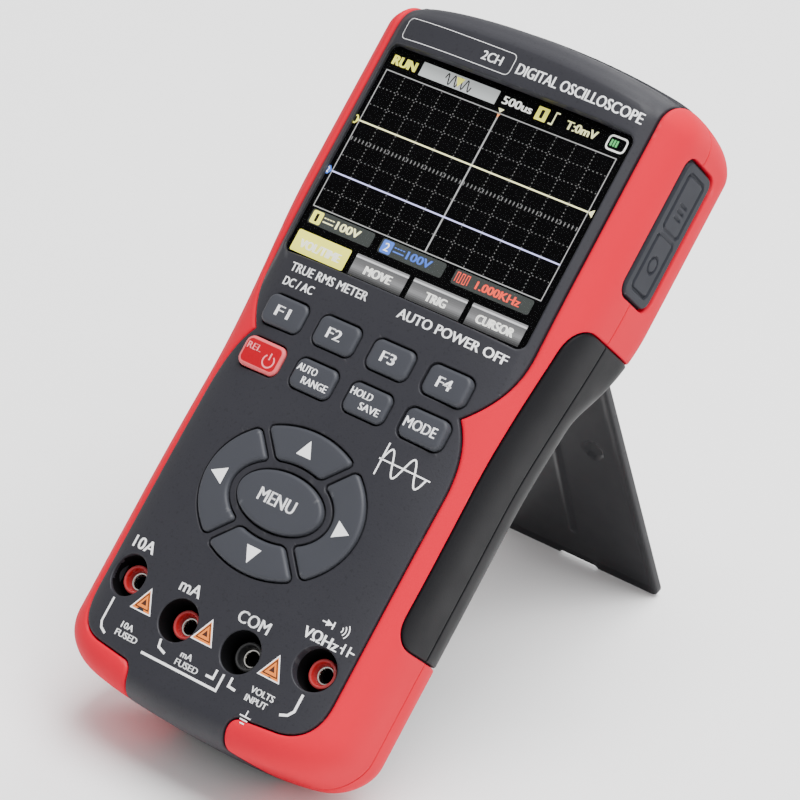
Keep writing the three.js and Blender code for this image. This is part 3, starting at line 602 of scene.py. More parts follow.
def text(words, x, y, height, width, weight, align="center", lift=0.0):
    """Lettering in the built-in font, fitted to a height and a width. The weight makes it bolder."""
    curve = bpy.data.curves.new("lettering", "FONT")
    curve.body = words
    curve.resolution_u = 3
    curve.extrude = 0.01
    maker = added("lettering", curve)
    bpy.context.view_layer.update()
    made = bpy.data.meshes.new_from_object(maker)
    made.calc_loop_triangles()
    points = np.array([v.co for v in made.vertices], float)
    tris = np.array([t.vertices for t in made.loop_triangles], int)
    bpy.data.objects.remove(maker)
    bpy.data.curves.remove(curve)
    bpy.data.meshes.remove(made)
    low, high = points.min(axis=0), points.max(axis=0)
    anchor = {"center": (low[0] + high[0]) / 2, "left": low[0], "right": high[0]}[align]
    points[:, 0] = (points[:, 0] - anchor) * (width / (high[0] - low[0])) + x
    points[:, 1] = (points[:, 1] - (low[1] + high[1]) / 2) * (height / (high[1] - low[1])) + y
    points[:, 2] = lift + (points[:, 2] - low[2]) / (high[2] - low[2]) * PRINT
    # A second copy beside the first makes the strokes bold.
    shift = np.array([weight * height * BOLDNESS, 0, 0])
    return np.vstack([points - shift, points + shift]), np.vstack([tris, tris + len(points)])


# ---- Objects ----


def to_row(points):
    return ORIGIN + MM * points @ AXES


def build(name, solids, material, body="case", slot="case_plastic", replaces=(), sharp=32):
    """Joins solids into one object in the row frame, riding on a body."""
    points = np.vstack([p for p, _ in solids])
    starts = np.cumsum([0] + [len(p) for p, _ in solids[:-1]])
    tris = np.vstack([t + s for (_, t), s in zip(solids, starts)])
    mesh = bpy.data.meshes.new(name)
    mesh.from_pydata(to_row(points).tolist(), [], tris.tolist())
    mesh.validate()
    mesh.shade_smooth()
    mesh.set_sharp_from_angle(angle=radians(sharp))
    mesh.materials.append(material)
    piece = added(name, mesh)
    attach(piece, body)
    if replaces:
        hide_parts(*replaces)


def print_on(surface, name, solids, material, body="case", slot="case_plastic"):
    """One piece of flat prints, laid on a surface given by its height over x and y."""
    laid = [(np.hstack([p[:, :2], p[:, 2:] + surface(p[:, 0], p[:, 1])[:, None]]), t) for p, t in solids]
    build(name, laid, material, body, slot, sharp=60)


# ---- Materials ----

MOTTLE = 25
GRAIN_DEPTH = 0.00008


def finish(name, color, roughness, metallic=0.0, grain=2600, bump=0.25, vary=0.04, edge_highlight=0.0, spread=0.04,
           alpha=1.0, specular=0.25, glow=0.0, speckle=0.0):
    """Moulded or plated surface: fine grain as bump, soft colour variation, and a painted highlight that
    makes the edges paler.
    """
    material = bpy.data.materials.new(name)
    material.use_nodes = True
    nodes, links = material.node_tree.nodes, material.node_tree.links

    def fill(node, inputs):
        """Sets or links a node's inputs, and gives its outputs."""
        for key, value in inputs.items():
            if isinstance(value, bpy.types.NodeSocket):
                links.new(value, node.inputs[key])
            else:
                node.inputs[key].default_value = value
        return node.outputs

    place = nodes.new("ShaderNodeTexCoord").outputs["Object"]

    def noise(scale, detail):
        inputs = {"Scale": scale, "Detail": detail, "Vector": place}
        return fill(nodes.new("ShaderNodeTexNoise"), inputs)["Fac"]

    def ranged(value, low, high, start=0.3, end=0.7):
        inputs = {"From Min": start, "From Max": end, "To Min": low, "To Max": high, "Value": value}
        return fill(nodes.new("ShaderNodeMapRange"), inputs)["Result"]

    def blended(share, first, second):
        mixer = nodes.new("ShaderNodeMix")
        mixer.data_type = "RGBA"
        return fill(mixer, {"Factor": share, 6: first, 7: second})[2]

    def shade(amount):
        return (*(c * (1 + amount) for c in color), 1)

    tone = blended(ranged(noise(MOTTLE, 4), 0, 1), shade(-vary), shade(vary))
    if speckle:
        tone = blended(ranged(noise(grain * 0.6, 3), 0, 0.8, 0.42, 0.3), tone, shade(-speckle))
    # Painted highlight: where the surface is pointy, at edges and corners, the colour is blended towards a
    # paler one.
    if edge_highlight:
        highlight_color = (*(c + (1 - c) * edge_highlight for c in color), 1)
        edge = nodes.new("ShaderNodeNewGeometry").outputs["Pointiness"]
        tone = blended(ranged(edge, 0, 1, 0.53, 0.62), tone, highlight_color)
    relief = {"Strength": bump, "Distance": GRAIN_DEPTH, "Height": noise(grain, 2)}
    look = {
        "Base Color": tone,
        "Roughness": ranged(noise(MOTTLE * 6, 3), roughness - spread, roughness + spread),
        "Normal": fill(nodes.new("ShaderNodeBump"), relief)["Normal"],
        "Metallic": metallic,
        "Alpha": alpha,
        "Specular IOR Level": specular,
    }
    if glow:
        look.update({"Emission Color": tone, "Emission Strength": glow})
    fill(nodes["Principled BSDF"], look)
    return material


# The paler edges set for the materials below are a painted highlight.
CASE = finish("moulded_charcoal", (0.019, 0.019, 0.024), 0.5, grain=2400, bump=0.3, edge_highlight=0.02, speckle=0.3)
BUMPER = finish("coral_rubber", (0.6, 0.0003, 0.022), 0.58, grain=2200, bump=0.08, vary=0.03, edge_highlight=0.02,
                specular=0.08)
GRIP = finish("grip_rubber", (0.006, 0.006, 0.0072), 0.5, grain=2800, bump=0.3, edge_highlight=0.01, specular=0.1)
KEY = finish("key_silicone", (0.036, 0.038, 0.046), 0.5, grain=3000, bump=0.15, edge_highlight=0.03)
POWER_KEY = finish("power_silicone", (0.36, 0.0006, 0.01), 0.4, grain=3000, bump=0.1, edge_highlight=0.2,
                   specular=0.12)
MEMBRANE = finish("membrane_silicone", (0.2, 0.2, 0.22), 0.7)
DISPLAY = finish("display_face", (0.0008, 0.0008, 0.0009), 0.4, bump=0.02, vary=0.2, specular=0.03)
LENS = finish("lens_acrylic", (0.01, 0.01, 0.012), 0.06, bump=0.005, spread=0.02, alpha=0.03)
BOARD = finish("solder_resist", (0.02, 0.12, 0.05), 0.4, grain=1500, bump=0.2)
RED_JACK = finish("red_insulator", (0.42, 0.004, 0.008), 0.3, bump=0.06, edge_highlight=0.12, specular=0.5)
BLACK_JACK = finish("black_insulator", (0.006, 0.006, 0.007), 0.3, bump=0.06, edge_highlight=0.08, specular=0.5)
BLACK = finish("moulded_black", (0.008, 0.008, 0.009), 0.55)
# Near-black for the insides of the jack wells and the floors of their tubes: painted shade.
WELL_SHADE = finish("well_painted_shade", (0.003, 0.003, 0.0035), 0.6, specular=0.08)
NICKEL = finish("nickel_plate", (0.72, 0.7, 0.66), 0.24, metallic=1, bump=0.05, spread=0.08)
STEEL = finish("plated_steel", (0.5, 0.51, 0.53), 0.34, metallic=1, bump=0.12, spread=0.1)
CERAMIC = finish("fuse_ceramic", (0.8, 0.78, 0.72), 0.3, bump=0.05)
WRAP = finish("cell_wrap", (0.04, 0.16, 0.42), 0.32, bump=0.05, edge_highlight=0.1)
STAND = finish("stand_plastic", (0.009, 0.0088, 0.011), 0.42, grain=3000, edge_highlight=0.03)
FLAP_RUBBER = finish("flap_rubber", (0.0165, 0.018, 0.024), 0.55, bump=0.2, edge_highlight=0.05, specular=0.14)
INK = finish("white_ink", (0.86, 0.86, 0.87), 0.55, bump=0.15)
ORANGE_INK = finish("orange_ink", (0.75, 0.2, 0.03), 0.55, bump=0.15, vary=0.05)
DARK_INK = finish("dark_ink", (0.05, 0.015, 0.008), 0.6, bump=0.15)
ROSE_RIM = finish("rose_rim", (0.62, 0.1, 0.11), 0.45, bump=0.08, specular=0.2)
ROSE_INK = finish("rose_ink", (0.8, 0.22, 0.24), 0.5, bump=0.1)


# Colours on the display: red, green, blue and the strength of the glow.
LIT = {
    "white": (0.8, 0.8, 0.76, 0.8),
    "grey": (0.13, 0.13, 0.13, 0.6),
    "line": (0.26, 0.26, 0.26, 0.6),
    "silver": (0.4, 0.42, 0.42, 0.6),
    "dim": (0.028, 0.032, 0.03, 0.5),
    "yellow": (0.8, 0.78, 0.1, 0.8),
    "pale_yellow": (0.85, 0.84, 0.45, 0.8),
    "lavender": (0.5, 0.5, 0.85, 0.8),
    "blue": (0.05, 0.13, 0.5, 0.8),
    "red": (0.75, 0.06, 0.03, 0.8),
    "orange": (0.8, 0.25, 0.06, 0.8),
    "green": (0.08, 0.4, 0.12, 0.8),
    "black": (0.004, 0.004, 0.004, 0.1),
}
# A metallic look drawn in bands, from the bottom up, brightest in a line near the top.
BANDS = (0.03, 0.05, 0.08, 0.12, 0.16, 0.15, 0.12, 0.1, 0.09, 0.08, 0.42, 0.16)
LIT.update({f"silver_{k}": (tone, tone, tone * 1.02, 0.7) for k, tone in enumerate(BANDS)})

# ---- Case, bumpers and grips ----

OUTER = meter_surface(SHRINK)
UNDER = meter_surface(SKIN + GAP, 1.6)
DOWN = np.array([0, 0, -1])
BEVEL_FROM, BEVEL_TOP, BEVEL_ARCH, BEVEL_CORNER = 35, 169.4, 3, 3.0
BEVEL_SLOPE, BEVEL_DEPTH, BEVEL_ROWS = 0.26, 0.75, (90, 104)

# Inside the raised face of the panel.
crease = meet(
    lambda p: BEVEL_FROM - np.abs(p[:, 0]),
    lambda p: BEVEL_TOP - BEVEL_ARCH * (p[:, 0] / HALF_WIDTH) ** 2 - p[:, 1],
    BEVEL_CORNER,
)


def panel_relief(points):
    """The panel falls away outside the crease, which fades out below the screen."""
    drop = np.minimum(BEVEL_SLOPE * np.maximum(-crease(points), 0), BEVEL_DEPTH)
    return -drop * smooth(points[:, 1], *BEVEL_ROWS) * (points[:, 2] > -12)


def case_half(side, outline, holes, depth, **face):
    """The visible shell of one half of the case, and the layer under its bumpers."""
    outer = [(side, 0.25), (grown(outline, -GAP / 2), 0.45)]
    under = [(side, 0.2), (outside(outline, -2.2), 0.1)]
    return [shell(OUTER, outer + holes, depth, **face), shell(UNDER, under + PORT_HOLES, 1.5)]


def add_front_case():
    holes = [(outside(screen_field, 0.3), 0.45)]
    holes += [(outside(key[0], 0.42), 0.3) for key in KEYS.values()]
    holes += [(outside(round_field(x, y, WELL)), 0.4) for x, y in JACKS.values()]
    solids = case_half(in_front, panel_field, holes, 3.4, relief=panel_relief, creases=[crease], sink=DOWN)
    build("front_case_moulding", solids, CASE, replaces=["front_case"])
    # The well linings are coloured near-black: painted shade inside the jack wells.
    wells = []
    for x, y in JACKS.values():
        rim = float(front_z(abs(x) + 5.6, y)) - 0.4
        wall = [(WELL - 0.08, WELL_END), (SLEEVE, WELL_END), (SLEEVE, -5), (5.5, rim), (WELL - 0.08, rim)]
        wells.append(turned(wall, x, y))
    build("jack_well_linings", wells, WELL_SHADE)


def add_rear_case():
    holes = [(outside(pocket_field), 0.6)] + INPUT_HOLES + SCREW_HOLES
    solids = case_half(behind, back_field, holes, 3.6)
    painted_shade_floor = flipped(sheet((-27, 18), (27, 138), 1.5, POCKET_Z))
    solids.append(shell(painted_shade_floor, [(grown(pocket_field, 1.4), 0.1), (outside(door_field(0.6, 1.5)), 0.3)], 2))
    boss = [(1.7, -33.5), (4.2, -33.5), (4.2, BACK_Z + 1), (3.1, BACK_Z + 1), (3.1, -34), (1.7, -34)]
    solids += [turned(boss, sign * x, y) for x, y in SCREWS for sign in (-1, 1)]
    build("rear_case_moulding", solids, CASE, replaces=["rear_case"])


def add_skins():
    """Bumpers and grips. Each side is split along the seam, and the rear bumper at its middle too."""
    no_grip = (outside(grip_field, GAP), 0.6)
    grip = (grip_field, 0.6)
    front_gap, back_gap = [(outside(outline, GAP / 2), 0.8) for outline in (panel_field, back_field)]
    upper = (lambda p: p[:, 1] - SKIN_SPLIT, 0.01)
    lower = (lambda p: SKIN_SPLIT - p[:, 1], 0.01)
    for side, sign in (("left", -1), ("right", 1)):
        half = (lambda p: sign * p[:, 0], 0.01)
        well = [(where(on_right, outside(flap_field, FLAP_GROOVE)), 0.3)] if side == "right" else []
        red, black = (BUMPER, "case", "bumper_rubber"), (GRIP, "case", "grip_rubber")
        for part, look, edges in (
            ("front_bumper", red, [(in_front, 0.25), front_gap, no_grip] + well),
            ("rear_bumper_upper", red, [upper, (behind, 0.25), back_gap, no_grip] + well),
            ("rear_bumper_lower", red, [lower, (behind, 0.25), back_gap, no_grip]),
            ("front_grip", black, [(in_front, 0.3), grip, front_gap]),
            ("rear_grip", black, [(behind, 0.3), grip, back_gap]),
        ):
            name = f"{part}_{side}"
            build(name + "_moulding", [shell(OUTER, [half] + edges, 1.9)], *look, [name])


# ---- Keys ----


def key_rim(name):
    """Height of the edge of a key's face."""
    _, middle, proud = KEYS[name]
    return float(front_z(*middle)) + proud - KEY_CROWN


def key_top(name):
    """Height of a key's face over x and y: slightly crowned."""
    field, rim = KEYS[name][0], key_rim(name)

    def height(u, v):
        inside = np.clip(field(np.stack([u, v], -1)), 0, 3)
        return rim + KEY_CROWN * np.sin(inside / 3 * pi / 2)

    return height


def add_keys():
    for name, (field, (x, y), _) in KEYS.items():
        reach = 15 if name in ARROW_TURNS or name == "key_menu" else 7
        top, rim = key_top(name), key_rim(name)
        # The sheet itself is flat, and the crown is added as relief, so that walls stay upright.
        surface = sheet((x - reach, y - reach), (x + reach, y + reach), 0.5, rim)

        def crown(p):
            return top(p[:, 0], p[:, 1]) - rim

        solid = shell(surface, [(field, 0.85)], 5.5, crown, sink=DOWN)
        if name != "key_power":
            build(name + "_cap", [solid], KEY, name, "key_rubber", [name])
            continue
        build(name + "_cap", [solid], POWER_KEY, name, "power_key_rubber", [name])
        edges = [(grown(field, 0.04), 0.85), (outside(field, -0.95), 0.3)]
        pale_rim = shell(surface, edges, 1.5, lambda p: crown(p) + 0.03, sink=DOWN)
        build("key_power_rim", [pale_rim], ROSE_RIM, name, "power_key_rubber")


def key_face(name):
    """Height for the prints on a key."""
    top = key_top(name)
    return lambda u, v: top(u, v) + 0.012


def add_legends():
    """Lettering and arrows on the keys, each riding on its own key."""
    columns = [(i - 1.5) * KEY_PITCH for i in range(4)]
    high, low = KEY_ROWS

    def two_lines(x, upper, upper_width, lower, lower_end, lower_width):
        return [
            text(upper, x - 5, low + 1.3, 1.75, upper_width, 0.014, "left"),
            text(lower, x + lower_end, low - 1.3, 1.75, lower_width, 0.014, "right"),
        ]

    legends = {}
    for number, x in enumerate(columns, 1):
        legends[f"key_f{number}"] = [text(f"F{number}", x - 0.3, high, 2.6, 3.9, 0.016)]
    legends["key_auto_range"] = two_lines(columns[1], "AUTO", 5.6, "RANGE", 4.9, 7.2)
    legends["key_hold"] = two_lines(columns[2], "HOLD", 6.1, "SAVE", 4.4, 5.6)
    legends["key_mode"] = [text("MODE", columns[3] - 0.5, low, 2.5, 8.9, 0.01)]
    legends["key_menu"] = [text("MENU", -0.3, NAV_Y, 3.1, 10.4, 0.01)]
    for name, degrees in ARROW_TURNS.items():
        x, y = KEYS[name][1]
        c, s = cos(radians(degrees)), sin(radians(degrees))
        legends[name] = [slab([(x + u * c - v * s, y + u * s + v * c) for u, v in ARROW])]
    for name, solids in legends.items():
        print_on(key_face(name), name + "_legend", solids, INK, name, "key_rubber")
    x = columns[0] + 2.6
    ring = [(x + 1.55 * sin(a), low - 0.7 + 1.55 * cos(a)) for a in np.linspace(0.65, 5.63, 22)]
    icon = [ribbon(ring, 0.38), ribbon([(x, low - 0.4), (x, low + 1.3)], 0.38)]
    icon.append(text("REL", columns[0] - 4.6, low + 1.2, 1.6, 4, 0.01, "left"))
    print_on(key_face("key_power"), "key_power_legend", icon, ROSE_INK, "key_power", "power_key_rubber")


# ---- Prints on the panel ----

# Words with their x and y, height, width, weight of stroke, and the end that x gives.
PANEL_WORDS = (
    ("DIGITAL OSCILLOSCOPE", 18, 164.7, 2.7, 34, 0.012),
    ("2CH", -3.6, 164.9, 2.3, 5.6, 0.012, "right"),
    ("TRUE RMS METER", -29, 102.3, 2.2, 23.5, 0.01, "left"),
    ("DC / AC", -29, 98.6, 2.1, 9.4, 0.014, "left"),
    ("AUTO POWER OFF", 18.6, 102, 2.4, 29.6, 0.014),
    ("10A", -27.6, 29.4, 2.9, 6.9, 0.014),
    ("mA", -10.1, 25.2, 2.9, 6, 0.01),
    ("COM", 8.9, 24.8, 2.9, 8.8, 0.01),
    ("VΩHz", 25.8, 28.3, 2.7, 9, 0.014),
    ("10A", -20.6, 11, 1.5, 3.6, 0.012),
    ("FUSED", -19.7, 8.9, 1.5, 6.6, 0.012),
    ("mA", -2.6, 11.2, 1.5, 3.2, 0.012),
    ("FUSED", -1.4, 9.1, 1.5, 6.6, 0.012),
    ("VOLTS", 19.6, 11.4, 1.5, 6.4, 0.012),
    ("INPUT", 19, 9.2, 1.5, 6, 0.012),
)
# Lines round the ratings between the jacks.
BRACKETS = (
    [(-28.2, 15.6), (-28.2, 9.6), (-27.4, 8.2), (-25.6, 7.3)],
    [(-14, 7.3), (8.4, 7.3), (8.4, 11.4)],
    [(-10.9, 12), (-10.5, 10.2), (-8.2, 9.4)],
    [(4.2, 9.4), (6.3, 9.4), (6.3, 11.6)],
    [(10.8, 11.6), (10.8, 9.5), (12.9, 9.3)],
    [(25.6, 9.1), (27.4, 9.8), (28.4, 11.2), (28.4, 15.4)],
)
CAPACITOR, DIODE, BEEPER, EARTH = (31.6, 28.4), (24.2, 32), (28.6, 32), (18.4, 5.2)
EARTH_BARS = ((1.5, 0), (1.05, 0.8), (0.6, 1.6))
WAVE = (18.1, 70.1)
JACK_MARKERS = ((-19.6, 18), (-1, 18), (18.9, 17.7))


def on_panel(u, v):
    return front_z(u, v) + 0.015


def dense(points, step=1.0):
    """The same line, with a point at least every step."""
    out = []
    for (x0, y0), (x1, y1) in zip(points, points[1:]):
        count = max(1, int(hypot(x1 - x0, y1 - y0) / step))
        out += [(mix(x0, x1, k / count), mix(y0, y1, k / count)) for k in range(count)]
    return out + [points[-1]]


def jack_marker(x, y, size):
    half, low, high = size / 2, -size * 0.44, size * 0.5
    return [(x - half, y + low), (x + half, y + low), (x, y + high)]


def panel_lines():
    """The lines on the panel, each with its width."""
    outline = rounded_rectangle(-16.8, 164.9, 32.6, 5.4, 1.2, 4)
    lines = [(dense(outline + outline[:1]), 0.13)] + [(dense(line), 0.6) for line in BRACKETS]
    x, y = CAPACITOR
    lines += [([(x + gap, y - 1.2), (x + gap, y + 1.2)], 0.36) for gap in (0, 1.3)]
    lines += [([(x - 0.8, y), (x, y)], 0.32), ([(x + 1.3, y), (x + 2.6, y)], 0.32)]
    x, y = DIODE
    lines += [([(x, y), (x + 3.2, y)], 0.3), ([(x + 2.9, y - 0.9), (x + 2.9, y + 0.9)], 0.36)]
    x, y = BEEPER
    for radius in (0.9, 1.65, 2.4):
        arc = [(x + radius * cos(a), y + radius * sin(a)) for a in np.linspace(-0.7, 0.7, 6)]
        lines.append((arc, 0.26))
    x, y = EARTH
    lines += [([(x - half, y - drop), (x + half, y - drop)], 0.3) for half, drop in EARTH_BARS]
    lines.append(([(x, y + 1.5), (x, y)], 0.3))
    x, y = WAVE
    wave = [(x + 12.0 * k / 40, y + 3.0 * sin(4 * pi * k / 40)) for k in range(41)]
    lines += [(wave, 0.42), (dense([(x - 0.7, y), (x + 12.9, y)]), 0.36)]
    return lines + [(dense([(x, y - 3.8), (x, y + 4.1)]), 0.42)]


def add_prints():
    white = [text(*row) for row in PANEL_WORDS]
    white += [ribbon(points, width) for points, width in panel_lines()]
    x, y = DIODE
    white.append(slab([(x + 1.1, y - 0.8), (x + 2.8, y), (x + 1.1, y + 0.8)]))
    print_on(on_panel, "panel_lettering", white, INK)
    orange, pale, dark = [], [], []
    for x, y in JACK_MARKERS:
        orange.append(slab(jack_marker(x, y, 6.2), thickness=0.015))
        pale.append(ribbon(jack_marker(x, y, 5.9), 0.3, 0.018, 0.012, closed=True))
        dark.append(ribbon(jack_marker(x, y - 0.1, 3.9), 0.26, 0.018, 0.012, closed=True))
        dark.append(slab(jack_marker(x, y - 0.3, 1.5), 0.018, 0.012))
    print_on(on_panel, "jack_markers", orange, ORANGE_INK)
    print_on(on_panel, "jack_marker_rims", pale, INK)
    print_on(on_panel, "jack_marker_lines", dark, DARK_INK)


# ---- The picture on the display ----

GRID_X, GRID_Y = (-33.8, 32.7), (117.9, 154.4)
CELLS = (12, 8)
DOTS = 5
FIRST_TRACE_Y, MIDDLE_Y, SECOND_TRACE_Y = 140.7, 136.1, 127.1
BOX_Y = 115.5
SOFT_KEY_Y, SOFT_KEY_LOW, SOFT_KEY_HEIGHT = 108.9, 106.2, 5.4
# Left and right end, words and their width.
SOFT_KEYS = (
    (-34, -18.2, "VOL/TIME", 11.8),
    (-16.5, -1.1, "MOVE", 7.6),
    (0.4, 15.9, "TRIG", 5.8),
    (17.4, 32.9, "CURSOR", 10.4),
)


def on_display(u, v):
    return np.full(np.shape(u), PICTURE_Z)


def rectangle(x0, y0, x1, y1):
    return [(x0, y0), (x1, y0), (x1, y1), (x0, y1)]


def add_picture():
    """Everything shown on the display, in layers by colour. Overlapping shapes differ in lift."""
    layers = defaultdict(list)

    def plate(color, lift, outline, **more):
        layers[color].append(slab(outline, lift, **more))

    def bar(color, lift, *corners):
        plate(color, lift, rectangle(*corners))

    def line(color, lift, points, width, **more):
        layers[color].append(ribbon(points, width, lift, **more))

    def words(color, lift, *row):
        layers[color].append(text(*row, lift=lift))

    (left, right), (low, high) = GRID_X, GRID_Y
    line("line", 0.02, rectangle(left, low, right, high), 0.24, closed=True)
    cell_x, cell_y = (right - left) / CELLS[0], (high - low) / CELLS[1]
    for i in range(1, CELLS[0]):
        for k in range(CELLS[1] * DOTS):
            x, y = left + i * cell_x, low + (k + 0.5) * cell_y / DOTS
            bar("grey", 0.02, x - 0.12, y - 0.14, x + 0.12, y + 0.14)
    for j in range(1, CELLS[1]):
        for k in range(CELLS[0] * DOTS):
            x, y = left + (k + 0.5) * cell_x / DOTS, low + j * cell_y
            bar("grey", 0.02, x - 0.16, y - 0.1, x + 0.16, y + 0.1)
    middle = (left + right) / 2
    bar("line", 0.03, middle - 0.2, low, middle + 0.2, high)
    ticks = CELLS[0] * DOTS
    for k in range(ticks):
        x = left + (k + 0.5) * (right - left) / ticks
        bar("grey", 0.03, x - 0.2, MIDDLE_Y - 0.5, x + 0.05, MIDDLE_Y + 0.5)
    bar("pale_yellow", 0.05, left, FIRST_TRACE_Y - 0.17, right, FIRST_TRACE_Y + 0.17)
    bar("lavender", 0.05, left, SECOND_TRACE_Y - 0.17, right, SECOND_TRACE_Y + 0.17)

    # Status row over the grid, from left to right.
    words("yellow", 0.03, "RUN", -30.1, 157.3, 2.4, 6.6, 0.03)
    bar("silver", 0.02, -25.4, 155.9, -3, 159.4)
    wave = [(-18.2 + 7.6 * k / 36, 157.6 + 1.3 * sin(8 * pi * k / 36)) for k in range(37)]
    line("black", 0.045, wave, 0.3, thickness=0.015)
    plate("yellow", 0.062, [(-15.4, 158.9), (-14.2, 156.6), (-13, 158.9)], thickness=0.015)
    words("white", 0.03, "500us", 2.8, 157.8, 2, 8.3, 0.02)
    bar("yellow", 0.02, 8.2, 156.2, 11.3, 159.5)
    words("black", 0.045, "1", 9.75, 157.85, 2.1, 0.8, 0.006)
    line("pale_yellow", 0.03, [(12.2, 156.4), (13.2, 156.4), (13.2, 159.4), (14.2, 159.4)], 0.34)
    words("pale_yellow", 0.03, "T:0mV", 21.1, 157.7, 2.1, 8.6, 0.02)
    line("white", 0.03, rounded_rectangle(31, 157.6, 4.9, 3.4, 0.9), 0.42, closed=True)
    for k in range(3):
        bar("green", 0.03, 29.3 + 0.75 * k, 156.8, 29.8 + 0.75 * k, 158.4)
    plate("pale_yellow", 0.06, [(-1.4, 155.6), (-0.55, 154.6), (0.3, 155.6)])
    plate("orange", 0.06, [(-0.95, 154.2), (-0.55, 153.2), (-0.15, 154.2)])

    # Markers at the ends of the traces.
    end, neck = left - 1.9, left - 0.9
    traces = ("yellow", "black", FIRST_TRACE_Y, "1"), ("blue", "white", SECOND_TRACE_Y, "2")
    for tag, ink, y, mark in traces:
        plate(tag, 0.03, [(end, y - 1.1), (neck, y - 1.1), (left - 0.1, y), (neck, y + 1.1), (end, y + 1.1)])
        words(ink, 0.055, mark, left - 1.2, y, 1.4, 0.6, 0.003)
    y = FIRST_TRACE_Y
    plate("pale_yellow", 0.03, [(right + 0.1, y), (right + 1.4, y - 1), (right + 1.4, y + 1)])

    # Boxes under the grid: the scale of each channel, and the frequency.
    for x0, x1, tone, reading, ink, mark, width in (
        (-33.3, -14.6, "yellow", "pale_yellow", "black", "1", 0.7),
        (-12.3, 6.4, "blue", "blue", "white", "2", 1.3),
    ):
        plate("dim", 0.01, rounded_rectangle((x0 + x1) / 2, BOX_Y, x1 - x0, 3.7, 0.6))
        plate(tone, 0.04, rounded_rectangle(x0 + 2, BOX_Y, 3, 3.2, 0.4))
        words(ink, 0.065, mark, x0 + 2, BOX_Y, 2, width, 0.006)
        bar(reading, 0.04, x0 + 4, 115, x0 + 7.1, 115.3)
        for k in range(4):
            x = x0 + 4 + 0.82 * k
            bar(reading, 0.04, x, 116, x + 0.55, 116.25)
        words(reading, 0.04, "100V", x0 + 11.4, 115.6, 2, 7, 0.02)
    plate("dim", 0.01, rounded_rectangle(20.3, BOX_Y, 22.2, 3.7, 0.6))
    pulse = []
    for k in range(3):
        x = 10.0 + 1.4 * k
        pulse += [(x, 114.4), (x, 116.7), (x + 0.7, 116.7), (x + 0.7, 114.4)]
    line("red", 0.04, pulse, 0.2)
    words("red", 0.04, "1.000KHz", 22, BOX_Y, 2, 12.4, 0.02)

    for x0, x1, label, width in SOFT_KEYS:
        middle = (x0 + x1) / 2
        if label == "VOL/TIME":
            plate("yellow", 0.02, rounded_rectangle(middle, SOFT_KEY_Y, x1 - x0, SOFT_KEY_HEIGHT, 0.4, 2))
        else:
            height = SOFT_KEY_HEIGHT / len(BANDS)
            for k in range(len(BANDS)):
                bar(f"silver_{k}", 0.02, x0, SOFT_KEY_LOW + height * k, x1, SOFT_KEY_LOW + height * (k + 1))
        words("white", 0.05, label, middle, 108.6, 2.1, width, 0.03)

    for name, solids in layers.items():
        *color, glow = LIT[name]
        material = finish("lit_" + name, color, 0.5, vary=0.02, bump=0.02, glow=glow)
        print_on(on_display, "picture_" + name, solids, material, slot="display_frame")


# ---- Jacks, sockets, port cover and kickstand ----


def add_jacks():
    """In each well a turned insulating post, a tube inside it, and the floor of the tube, coloured
    near-black as painted shade.
    """
    for name, (x, y) in JACKS.items():
        top = float(front_z(x, y)) - JACK_SINK
        red = name != "com"
        material, slot = (RED_JACK, "red_jack_plastic") if red else (BLACK_JACK, "black_jack_plastic")
        post = [(2.25, -26), (SLEEVE, -26), (SLEEVE, -24.3), (3.55, -24.3), (3.55, top - 0.4)]
        post += [(3.43, top - 0.12), (3.15, top), (2.85, top - 0.08), (2.62, top - 0.4), (2.25, top - 1.9)]
        tube = [(1.7, -24), (2.23, -24), (2.23, top - 2.1), (2.1, top - 1.9), (1.85, top - 1.95)]
        tube.append((1.7, top - 2.2))
        cup = [(AXIS, -23.5), (1.55, -23.5), (1.55, top - 3.3), (1.69, top - 3.3), (1.69, -24.5)]
        cup.append((AXIS, -24.5))
        build(f"jack_{name}_insulator", [turned(post, x, y)], material, "case", slot, [f"jack_{name}"])
        build(f"contact_{name}_tube", [turned(tube, x, y)], NICKEL, "case", "nickel", [f"contact_{name}"])
        # The floor of the tube is near-black: painted shade deep in the bore.
        build(f"jack_{name}_floor", [turned(cup, x, y)], WELL_SHADE, "case", "black_jack_plastic")


def add_inputs():
    """Each oscilloscope input is a sleeve with a pin in the middle, on a seat."""
    x, z, radius, end = INPUTS
    sleeve = [(2.3, end - 10), (radius, end - 10), (radius, end - 0.3), (radius - 0.3, end), (2.5, end)]
    sleeve.append((2.3, end - 0.25))
    pin = [(AXIS, end - 10), (0.5, end - 10), (0.5, end - 1.9), (0.3, end - 1.5), (AXIS, end - 1.5)]
    seat = [(AXIS, end - 9), (2.4, end - 9), (2.4, end - 8), (AXIS, end - 8)]
    for number, sign in ((1, -1), (2, 1)):
        name = f"scope_input_{number}"
        solids = [turned(part, sign * x, 0, z, "y") for part in (sleeve, pin, seat)]
        build(name + "_socket", solids, NICKEL, "case", "nickel", [name])


def grooves(points):
    """Two engraved U-shaped lines on the port cover, shallower where they open."""
    height = np.zeros(len(points))
    for sign in (-1, 1):
        middle = FLAP[0] - 7.6 * sign
        outline = box_field(middle, FLAP[1], 14, 8.6, 1.4, (1, 2))
        line = np.clip(1 - np.abs(outline(points)) / 0.5, 0, 1)
        opening = smooth((points[:, 1] - middle) * sign, 6.4, 7)
        height = np.minimum(height, -0.55 * smooth(line, 0, 0.7) * (1 - 0.6 * opening))
    return height


def port_icons(points):
    """An engraved ring over the signal socket and three bars over the charging socket."""
    ring = round_field(SIGNAL[0] + 0.4, FLAP[1], 1.9, (1, 2))
    drawn = np.clip(1 - np.abs(ring(points)) / 0.35, 0, 1)
    for k in (-1, 0, 1):
        bar = box_field(USB[0] + 1.6 * k, FLAP[1], 0.6, 3.6, 0.2, (1, 2))
        drawn = np.maximum(drawn, np.clip(bar(points) / 0.2, 0, 1))
    return -0.4 * smooth(drawn, 0, 0.7)


